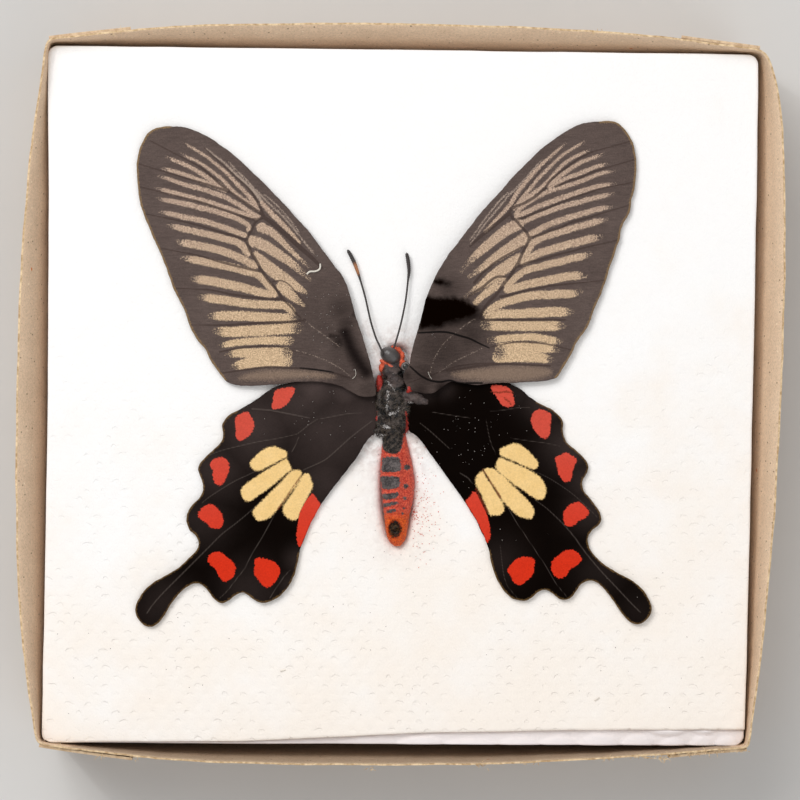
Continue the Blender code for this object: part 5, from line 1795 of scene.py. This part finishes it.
# %% Thorax places
THORAX_LUMPS = [
  (393.5, 402, 23.5, (2.9, 5.3, 2.75), 0),
  (391.5, 371, 24.1, (1.95, 1.7, 1.5), 0),
  (396, 381, 25, (1.75, 1, 0.9), -15),
  (379.7, 384, 24.4, (0.75, 1.5, 1.1), 8),
  (411, 396, 25, (2.2, 1.25, 0.75), -18),
  (420, 400, 24.95, (1.5, 0.85, 0.5), -14),
  (380.5, 399, 24.6, (1, 2.6, 1.4), 0),
  (405, 407, 24.9, (1, 1.8, 1.1), 0),
  (391, 404, 25.5, (1.2, 2, 0.8), 0),
  (380.5, 430.5, 24.7, (1.6, 0.42, 0.6), 4),
  (384.5, 435, 24.5, (1.5, 0.34, 0.5), -3),
  (388, 427, 25.2, (1.3, 0.8, 0.85), 0),
  (399, 424, 25, (1.5, 1.3, 1.1), 0),
  (393, 431, 24.3, (2.1, 1.1, 1.5), 0),
  (381, 418, 24.4, (1.2, 2.6, 1.1), 0),
  (405.5, 421, 24.3, (0.8, 2.4, 0.9), 0),
  (395, 396, 26, (0.8, 0.7, 0.3), 20),
  (392, 412, 25.7, (0.9, 0.6, 0.4), 30),
  (409.3, 389, 25.9, (0.6, 0.65, 0.68), 0)]
THORAX_REDS = [
  (5, 8, 5, [(380, 375), (378.7, 382), (377.5, 389)]),
  (3, 5, 3, [(409.5, 386.5), (410, 389.5), (408, 391.5)]),
  (2, 3, 2, [(404.5, 376), (406, 380), (406.5, 384)]),
  (1.5, 3, 2.5, [(406, 412), (407.6, 420), (407, 430), (405, 440)]),
  (1.2, 1.6, 1.2, [(376.4, 412), (376.4, 420)])]
THORAX_PLATES = [
  [(383, 366), (390, 363), (397, 364), (400, 369), (397, 374), (391, 376), (385, 375)],
  [(387, 376), (394, 375), (401, 377), (404, 381), (403, 385), (397, 387), (392, 386), (388, 382)],
  [(403, 391), (409, 390), (417, 392), (425, 396), (432, 400), (426, 406), (414, 405), (405, 401)]]
# thin lines of painted glint on the thorax
PAINTED_GLINTS = [
  (1.6, 2.6, 1, [(387.5, 391), (388.2, 396), (387.5, 401)]),
  (2, 2.8, 1.4, [(387.2, 404), (386.6, 407), (387, 411)]),
  (2.5, 3.4, 2.5, [(390, 414.5), (392, 413.5), (394.5, 413)]),
  (0.9, 1.2, 0.9, [(394, 415), (397.5, 411.5), (399, 407)]),
  (3, 3.6, 2, [(384.5, 426.5), (387, 427), (390, 428)]),
  (1, 1.3, 1, [(387.5, 380), (391, 386), (395.5, 390.5)]),
  (1.6, 2, 1.6, [(378, 434), (381.5, 435.5), (384, 435.5)]),
  (1.6, 2.4, 1.6, [(408.5, 403), (410.5, 402.6), (412.5, 403.5)])]
# gaps under and beside the plates, painted near black as shade
SHADED_GAPS = [
  [(395, 389), (399, 387), (405, 385.5), (407, 387), (406, 391), (401, 392.5), (396, 391.5)],
  [(399, 372), (406, 370), (410, 373), (407, 376), (401, 375)],
  [(381, 410), (385, 409), (386, 414), (382, 415)]]
print("the thorax has", len(THORAX_LUMPS), "lumps and", len(THORAX_PLATES), "smooth plates")


# %% Thorax
def body_finish():
    skin = Finish("body_fur", roughness=0.4)
    grain = skin.noise(0.25)
    jitter = skin.swing(grain, 0.8)
    red = skin.edge("red", jitter, -0.12, 0.12)
    plate = skin.step(skin.field("plate"), -0.1, 0.15)
    painted_glint = skin.edge("painted_glint", skin.times(jitter, 2.6), 0.05, 0.25)
    mottle = skin.swing(skin.noise(0.9, detail=4.0), 1.5)
    colour = skin.mix(skin.step(skin.plus(grain, mottle), 0.3, 0.85), srgb(8, 5, 5), srgb(90, 79, 72))
    plates = skin.mix(skin.step(skin.noise(0.9), 0.3, 0.7), srgb(50, 42, 41), srgb(94, 80, 75))
    colour = skin.mix(plate, colour, plates)
    # painted shade in the gaps
    colour = skin.mix(skin.step(skin.field("gap_shade"), -0.15, 0.15), colour, srgb(8, 4, 3))
    colour = skin.mix(red, colour, skin.mix(grain, srgb(150, 30, 26), srgb(205, 62, 48)))
    colour = skin.haired(colour, srgb(12, 9, 8), srgb(160, 140, 114))
    # painted glints: pale marks where dry scales catch the light
    colour = skin.mix(skin.times(painted_glint, 0.8), colour, srgb(206, 200, 196))
    skin.bump(skin.plus(grain, skin.noise(0.1)), 0.10)
    return skin.wear(Base_Color=colour, Roughness=0.27, Specular_IOR_Level=0.35)


THORAX_HAIRS = 1500
body_fur = body_finish()
skin_points, skin_faces, skin_normals = clay(THORAX_LUMPS, 0.13)
skin_points = roughened(roughened(skin_points, skin_normals, 0.2, 0.8, 131), skin_normals, 0.08, 0.3, 132)
plate_depth = deepest_shape(skin_points[:, :2], THORAX_PLATES)
rng = np.random.default_rng(133)
hairy = (skin_points[:, 2] > 24.3) & (plate_depth < -0.1) & (skin_points[:, 1] < place(0, 376)[1])
roots = hair_roots(rng, skin_points, hairy, THORAX_HAIRS)
leans = brushed(rng, THORAX_HAIRS, (0, -0.9, 0.25), 0.55, 0.75)
hairs = strands(rng, roots, leans, 0.024)
points, faces, hair = furred([(skin_points, skin_faces), hairs], rng.beta(0.8, 4.5, THORAX_HAIRS))
flat = points[:, :2]
make_piece("furred_thorax", points, faces, body_fur, "body_fur", "thorax", {
    "red": deepest(flat, tapered_lines(THORAX_REDS)), "plate": deepest_shape(flat, THORAX_PLATES),
    "painted_glint": on_top(points, deepest(flat, tapered_lines(PAINTED_GLINTS)), 24.6), "hair": hair,
    "gap_shade": deepest_shape(flat, SHADED_GAPS)})

# %% [markdown]
# The head is small between its big eyes. Eyes dry to a dull grey gloss, so they are smooth
# rounded lumps of their own in the same piece, and red hair lies in a band round them.

# %% Head
HEAD_LUMPS = [
  (396, 358, 23.8, (1.5, 1.75, 1.4), 0),
  (394, 347.8, 24.6, (0.6, 0.32, 0.4), -20),
  (399, 350, 24.8, (0.7, 0.4, 0.5), -38),
  (402.5, 355, 24.9, (0.4, 0.7, 0.5), 10),
  (401.5, 361.5, 24.8, (0.4, 0.6, 0.5), -20),
  (384.5, 362.5, 24.3, (1, 0.4, 0.5), -28),
  (381.5, 368, 24.2, (0.5, 0.8, 0.6), 0),
  (391, 367, 24.3, (1.6, 0.9, 1.1), 0),
  (404, 365.5, 24.9, (0.9, 0.9, 1.1), 0)]
HEAD_REDS = [
  (4, 5, 4.5, [(390, 346.5), (396, 347.8), (401, 351.5), (403.2, 357), (401.5, 364.5)]),
  (3.5, 2.4, 1.4, [(379.7, 359.9), (385, 362.8), (392, 366.5)]),
  (4, 5, 5, [(382.5, 364), (380.5, 370), (379, 376)])]
EYES = [(390.6, 355.4, 24.6, (1.95, 1.5, 1.5), -25), (405.6, 366.6, 25.7, (0.88, 0.88, 0.85), 0)]


def head_finish():
    skin = Finish("head_fur", roughness=0.5)
    grain = skin.noise(0.22)
    jitter = skin.swing(grain, 0.6)
    red = skin.edge("red", jitter, -0.12, 0.12)
    eye = skin.step(skin.field("eye"), 0.4, 0.6)
    colour = skin.mix(grain, srgb(38, 34, 34), srgb(74, 68, 67))
    colour = skin.mix(red, colour, skin.mix(grain, srgb(186, 52, 30), srgb(244, 118, 70)))
    globe = skin.mix(skin.noise(1.3), srgb(54, 50, 49), srgb(92, 86, 84))
    globe = skin.mix(skin.step(skin.field("small_eye"), 0.0, 0.15), globe, srgb(40, 38, 34))
    globe = skin.mix(skin.step(skin.field("ring"), -0.1, 0.08), globe, srgb(128, 118, 114))
    colour = skin.mix(eye, colour, globe)
    colour = skin.haired(colour, srgb(170, 44, 32), srgb(236, 118, 84))
    skin.bump(skin.plus(grain, skin.noise(0.1)), 0.02)
    return skin.wear(Base_Color=colour, Roughness=skin.minus(0.55, skin.times(eye, 0.33)))


HEAD_HAIRS = 420
skin_points, skin_faces, skin_normals = clay(HEAD_LUMPS, 0.1)
skin_points = roughened(skin_points, skin_normals, 0.06, 0.5, 141)
eye_points, eye_faces, eye_normals = clay(EYES, 0.07)
small_eye = 0.82 - np.linalg.norm(eye_points[:, :2] - place(*EYES[1][:2]), axis=1)
rng = np.random.default_rng(142)
on_band = (deepest(skin_points[:, :2], tapered_lines(HEAD_REDS)) > 0) & (skin_points[:, 2] > 24.4)
roots = hair_roots(rng, skin_points, on_band, HEAD_HAIRS)
hairs = strands(rng, roots, brushed(rng, HEAD_HAIRS, (0.1, -0.4, 0.5), 0.6, 0.35), 0.03)
points, faces, hair = furred([(skin_points, skin_faces), hairs], rng.uniform(0.15, 1.0, HEAD_HAIRS))
body_count = len(points)
points, faces = joined([(points, faces), (eye_points, eye_faces)])
eye = np.where(np.arange(len(points)) >= body_count, 1.0, 0.0)
make_piece("head_and_eyes", points, faces, head_finish(), "head_fur", "head", {
    "red": deepest(points[:, :2], tapered_lines(HEAD_REDS)), "eye": eye,
    "small_eye": np.concatenate([np.full(body_count, -1.0), small_eye + 0.2]),
    "ring": np.concatenate([np.full(body_count, -1.0), 0.1 - np.abs(small_eye - 0.16)]),
    "hair": np.concatenate([hair, np.zeros(len(eye_points))])})

# %% [markdown]
# ## The antennae
#
# An antenna is a string of tiny joints that thickens into a club. It is a tube of rings along
# a smooth line, and its radius swells a little at each joint. The finish keeps one amber
# stretch on the left one.

# %% Antennae
LEFT_ANTENNA = [
    (383, 354.5), (381.5, 350), (379, 344.5), (376, 338), (370.8, 321.6), (365.2, 297), (359.6, 277.8),
    (355, 264.5), (351, 256), (347.5, 249.8)]
RIGHT_ANTENNA = [
    (394, 348), (395.3, 343.5), (397.3, 337), (401.4, 321.6), (405.5, 301.2), (408, 280.8), (409, 270.6),
    (408, 260.4), (406.5, 252.8)]
SHAFT_RADIUS = 0.17
CLUB_RADIUS = 0.34
JOINT = 0.38                # the length of one joint
ANTENNA_REST = PAD_TOP + 0.3 + 0.36
ANTENNA_RISE = 1.9 - 0.66   # how much higher the root lies than the club


def tube(line, radii, sides=10):
    """A closed tube of rings along a line."""
    run = np.gradient(line, axis=0)
    run /= np.linalg.norm(run, axis=1)[:, None]
    side = np.cross(run, (0.0, 0.0, 1.0))
    side /= np.linalg.norm(side, axis=1)[:, None]
    up = np.cross(side, run)
    turns = np.linspace(0, 2 * np.pi, sides, endpoint=False)
    rings = [spot + radius * (np.outer(np.cos(turns), a) + np.outer(np.sin(turns), b))
             for spot, radius, a, b in zip(line, radii, side, up)]
    faces = [(ring * sides + turn, ring * sides + (turn + 1) % sides,
              (ring + 1) * sides + (turn + 1) % sides, (ring + 1) * sides + turn)
             for ring in range(len(line) - 1) for turn in range(sides)]
    faces += [tuple(reversed(range(sides))), tuple(range((len(line) - 1) * sides, len(line) * sides))]
    return np.vstack(rings), faces


def antenna_finish():
    stalk = Finish("antenna_skin", roughness=0.45)
    colour = stalk.mix(stalk.noise(0.4), srgb(26, 21, 20), srgb(62, 52, 48))
    colour = stalk.mix(stalk.field("amber"), colour, srgb(190, 124, 76))
    stalk.bump(stalk.noise(0.1), 0.02)
    return stalk.wear(Base_Color=colour)


def make_antenna(name, drawn, finish, node):
    line = smooth_line(places(drawn), step=0.09)
    along = np.concatenate([[0], np.cumsum(np.linalg.norm(np.diff(line, axis=0), axis=1))])
    share = along / along[-1]
    club = np.clip((share - 0.7) / 0.3, 0, 1)
    radii = SHAFT_RADIUS + (CLUB_RADIUS - SHAFT_RADIUS) * np.sin(np.pi * np.clip(club * 0.75, 0, 1))
    radii *= 1 + 0.07 * np.sin(2 * np.pi * along / JOINT)
    radii *= np.sqrt(np.clip((1.0 - share) / 0.02, 0.02, 1))
    height = ANTENNA_REST + ANTENNA_RISE * (1 - share) ** 2
    points, faces = tube(np.column_stack([line, height]), radii)
    away = np.linalg.norm(points[:, :2] - place(357, 269), axis=1)
    amber = np.clip(1.3 - away / 1.1, 0, 0.7) * (name == "left_antenna")
    make_piece(name, points, faces, finish, "antenna_skin", node, {"amber": amber})


antenna_skin = antenna_finish()
make_antenna("left_antenna", LEFT_ANTENNA, antenna_skin, "antenna_left")
make_antenna("right_antenna", RIGHT_ANTENNA, antenna_skin, "antenna_right")

# %% [markdown]
# ## Dust and stray fibres
#
# A handled specimen sheds. Orange-red dust lies right of the abdomen, dark specks are strewn
# over the tissue, pale specks lie on the wings, and a few curled white fibres lie on the wings
# and on the tissue. Each speck is a tiny grain of eight facets, and all of a kind are one mesh.

# %% Grains
def grains(spots, radii, heights):
    """Flat little grains, each an octahedron."""
    points, faces = [], []
    for (x, y), radius, z in zip(spots, radii, heights):
        first = len(points)
        points += [(x + radius, y, z), (x, y + radius, z), (x - radius, y, z), (x, y - radius, z),
                   (x, y, z + 0.6 * radius), (x, y, z - 0.6 * radius)]
        for turn in range(4):
            after = (turn + 1) % 4
            faces.append((first + turn, first + after, first + 4))
            faces.append((first + after, first + turn, first + 5))
    return np.array(points), faces


def dust_finish(name, first, second):
    dust = Finish(name, roughness=0.8)
    return dust.wear(Base_Color=dust.mix(dust.noise(1.5), first, second))


rng = np.random.default_rng(151)
red_spots = np.vstack([place(412, 513.5) + rng.normal(0, 0.75, (90, 2)),
                       place(420, 512) + rng.normal(0, 1, (190, 2)) * (1.8, 4.2)])
red_spots = red_spots[red_spots[:, 0] > place(412, 500)[0]]
red_grains = grains(red_spots, rng.uniform(0.05, 0.11, len(red_spots)), top_height(*red_spots.T) + 0.06)
red_finish = dust_finish("red_dust", srgb(226, 96, 56), srgb(206, 70, 36))
make_piece("red_dust", *red_grains, red_finish, "abdomen_skin")

# %% Dark specks
DARK_SPECKS = [
    (88, 630), (184, 626), (148.6, 638), (297, 657), (175, 661), (229, 638.5), (151, 673.5), (99, 723.5),
    (68.5, 713.6), (73.7, 678), (110.5, 648.6), (57.5, 634), (687, 637), (630, 630), (505, 615),
    (556, 614), (541, 613), (343, 541), (356, 537), (365, 518), (401, 555), (390, 555), (330, 520),
    (352, 500), (430, 560), (420, 548)]
dark_spots = np.vstack([places(DARK_SPECKS), rng.uniform(place(70, 720), place(730, 560), (45, 2)),
                        place(398, 500) + rng.normal(0, 1, (60, 2)) * (6, 7)])
dark_grains = grains(dark_spots, rng.uniform(0.04, 0.09, len(dark_spots)), top_height(*dark_spots.T) + 0.04)
dark_finish = dust_finish("dark_specks", srgb(96, 78, 66), srgb(56, 46, 42))
make_piece("dark_specks", *dark_grains, dark_finish, "body_fur")

# %% Pale specks
PALE_SPECKS = [
    (458, 419), (453, 421), (457, 426), (448, 430), (456, 431), (491, 422), (491, 427), (425, 431),
    (432, 443), (437, 452), (468, 450), (502, 540), (516, 540), (500, 529), (548, 534), (607, 578),
    (637, 597), (432, 335), (435, 337), (445, 348), (433, 334), (354, 370), (452, 448), (461, 455),
    (340, 360), (330, 392)]
pale_spots = np.vstack([places(PALE_SPECKS), place(460, 430) + rng.normal(0, 1, (60, 2)) * (5.5, 5.5),
                        place(318, 412) + rng.normal(0, 1, (34, 2)) * (6, 4),
                        place(329, 308) + rng.normal(0, 1, (55, 2)) * (2.2, 3.4)])
pale_heights = np.maximum(hindwing_rest(*pale_spots.T), np.where(
    pale_spots[:, 1] > place(0, 382)[1], forewing_rest(*pale_spots.T), 0)) + 0.36
pale_grains = grains(pale_spots, rng.uniform(0.03, 0.08, len(pale_spots)), pale_heights)
pale_finish = dust_finish("pale_specks", srgb(216, 210, 202), srgb(150, 140, 132))
make_piece("pale_specks", *pale_grains, pale_finish, "tissue")

# %% Stray fibres
FOREWING_REAR = 400         # pixels down the picture, below both forewings
# each fibre is its radius and its lift in millimetres, and its places
CURLS = [
  (0.16, 0.45, [(307, 274.5), (310, 272), (316, 271.5), (320, 269), (320.5, 264)]),
  (0.035, 0.4, [(352.5, 379), (355.5, 376), (356, 372), (355, 369)]),
  (0.035, 0.4, [(428, 372), (429.5, 376), (431.5, 379)]),
  (0.1, 0.1, [(280.5, 671.5), (283, 670.5), (285.5, 669.8)]),
  (0.09, 0.1, [(594.5, 701), (597, 699.5), (599.5, 697.5)])]
curl_parts = []
for radius, lift, drawn in CURLS:
    line = smooth_line(places(drawn), step=0.12)
    x, y = line.T
    on_wing = drawn[0][1] < FOREWING_REAR
    level = (forewing_rest(x, y) if on_wing else top_height(x, y)) + lift
    curl_parts.append(tube(np.column_stack([line, level]), np.full(len(line), radius), sides=8))
curl_finish = dust_finish("stray_fibres", srgb(236, 230, 220), srgb(206, 196, 180))
make_piece("stray_fibres", *joined(curl_parts), curl_finish, "tissue")
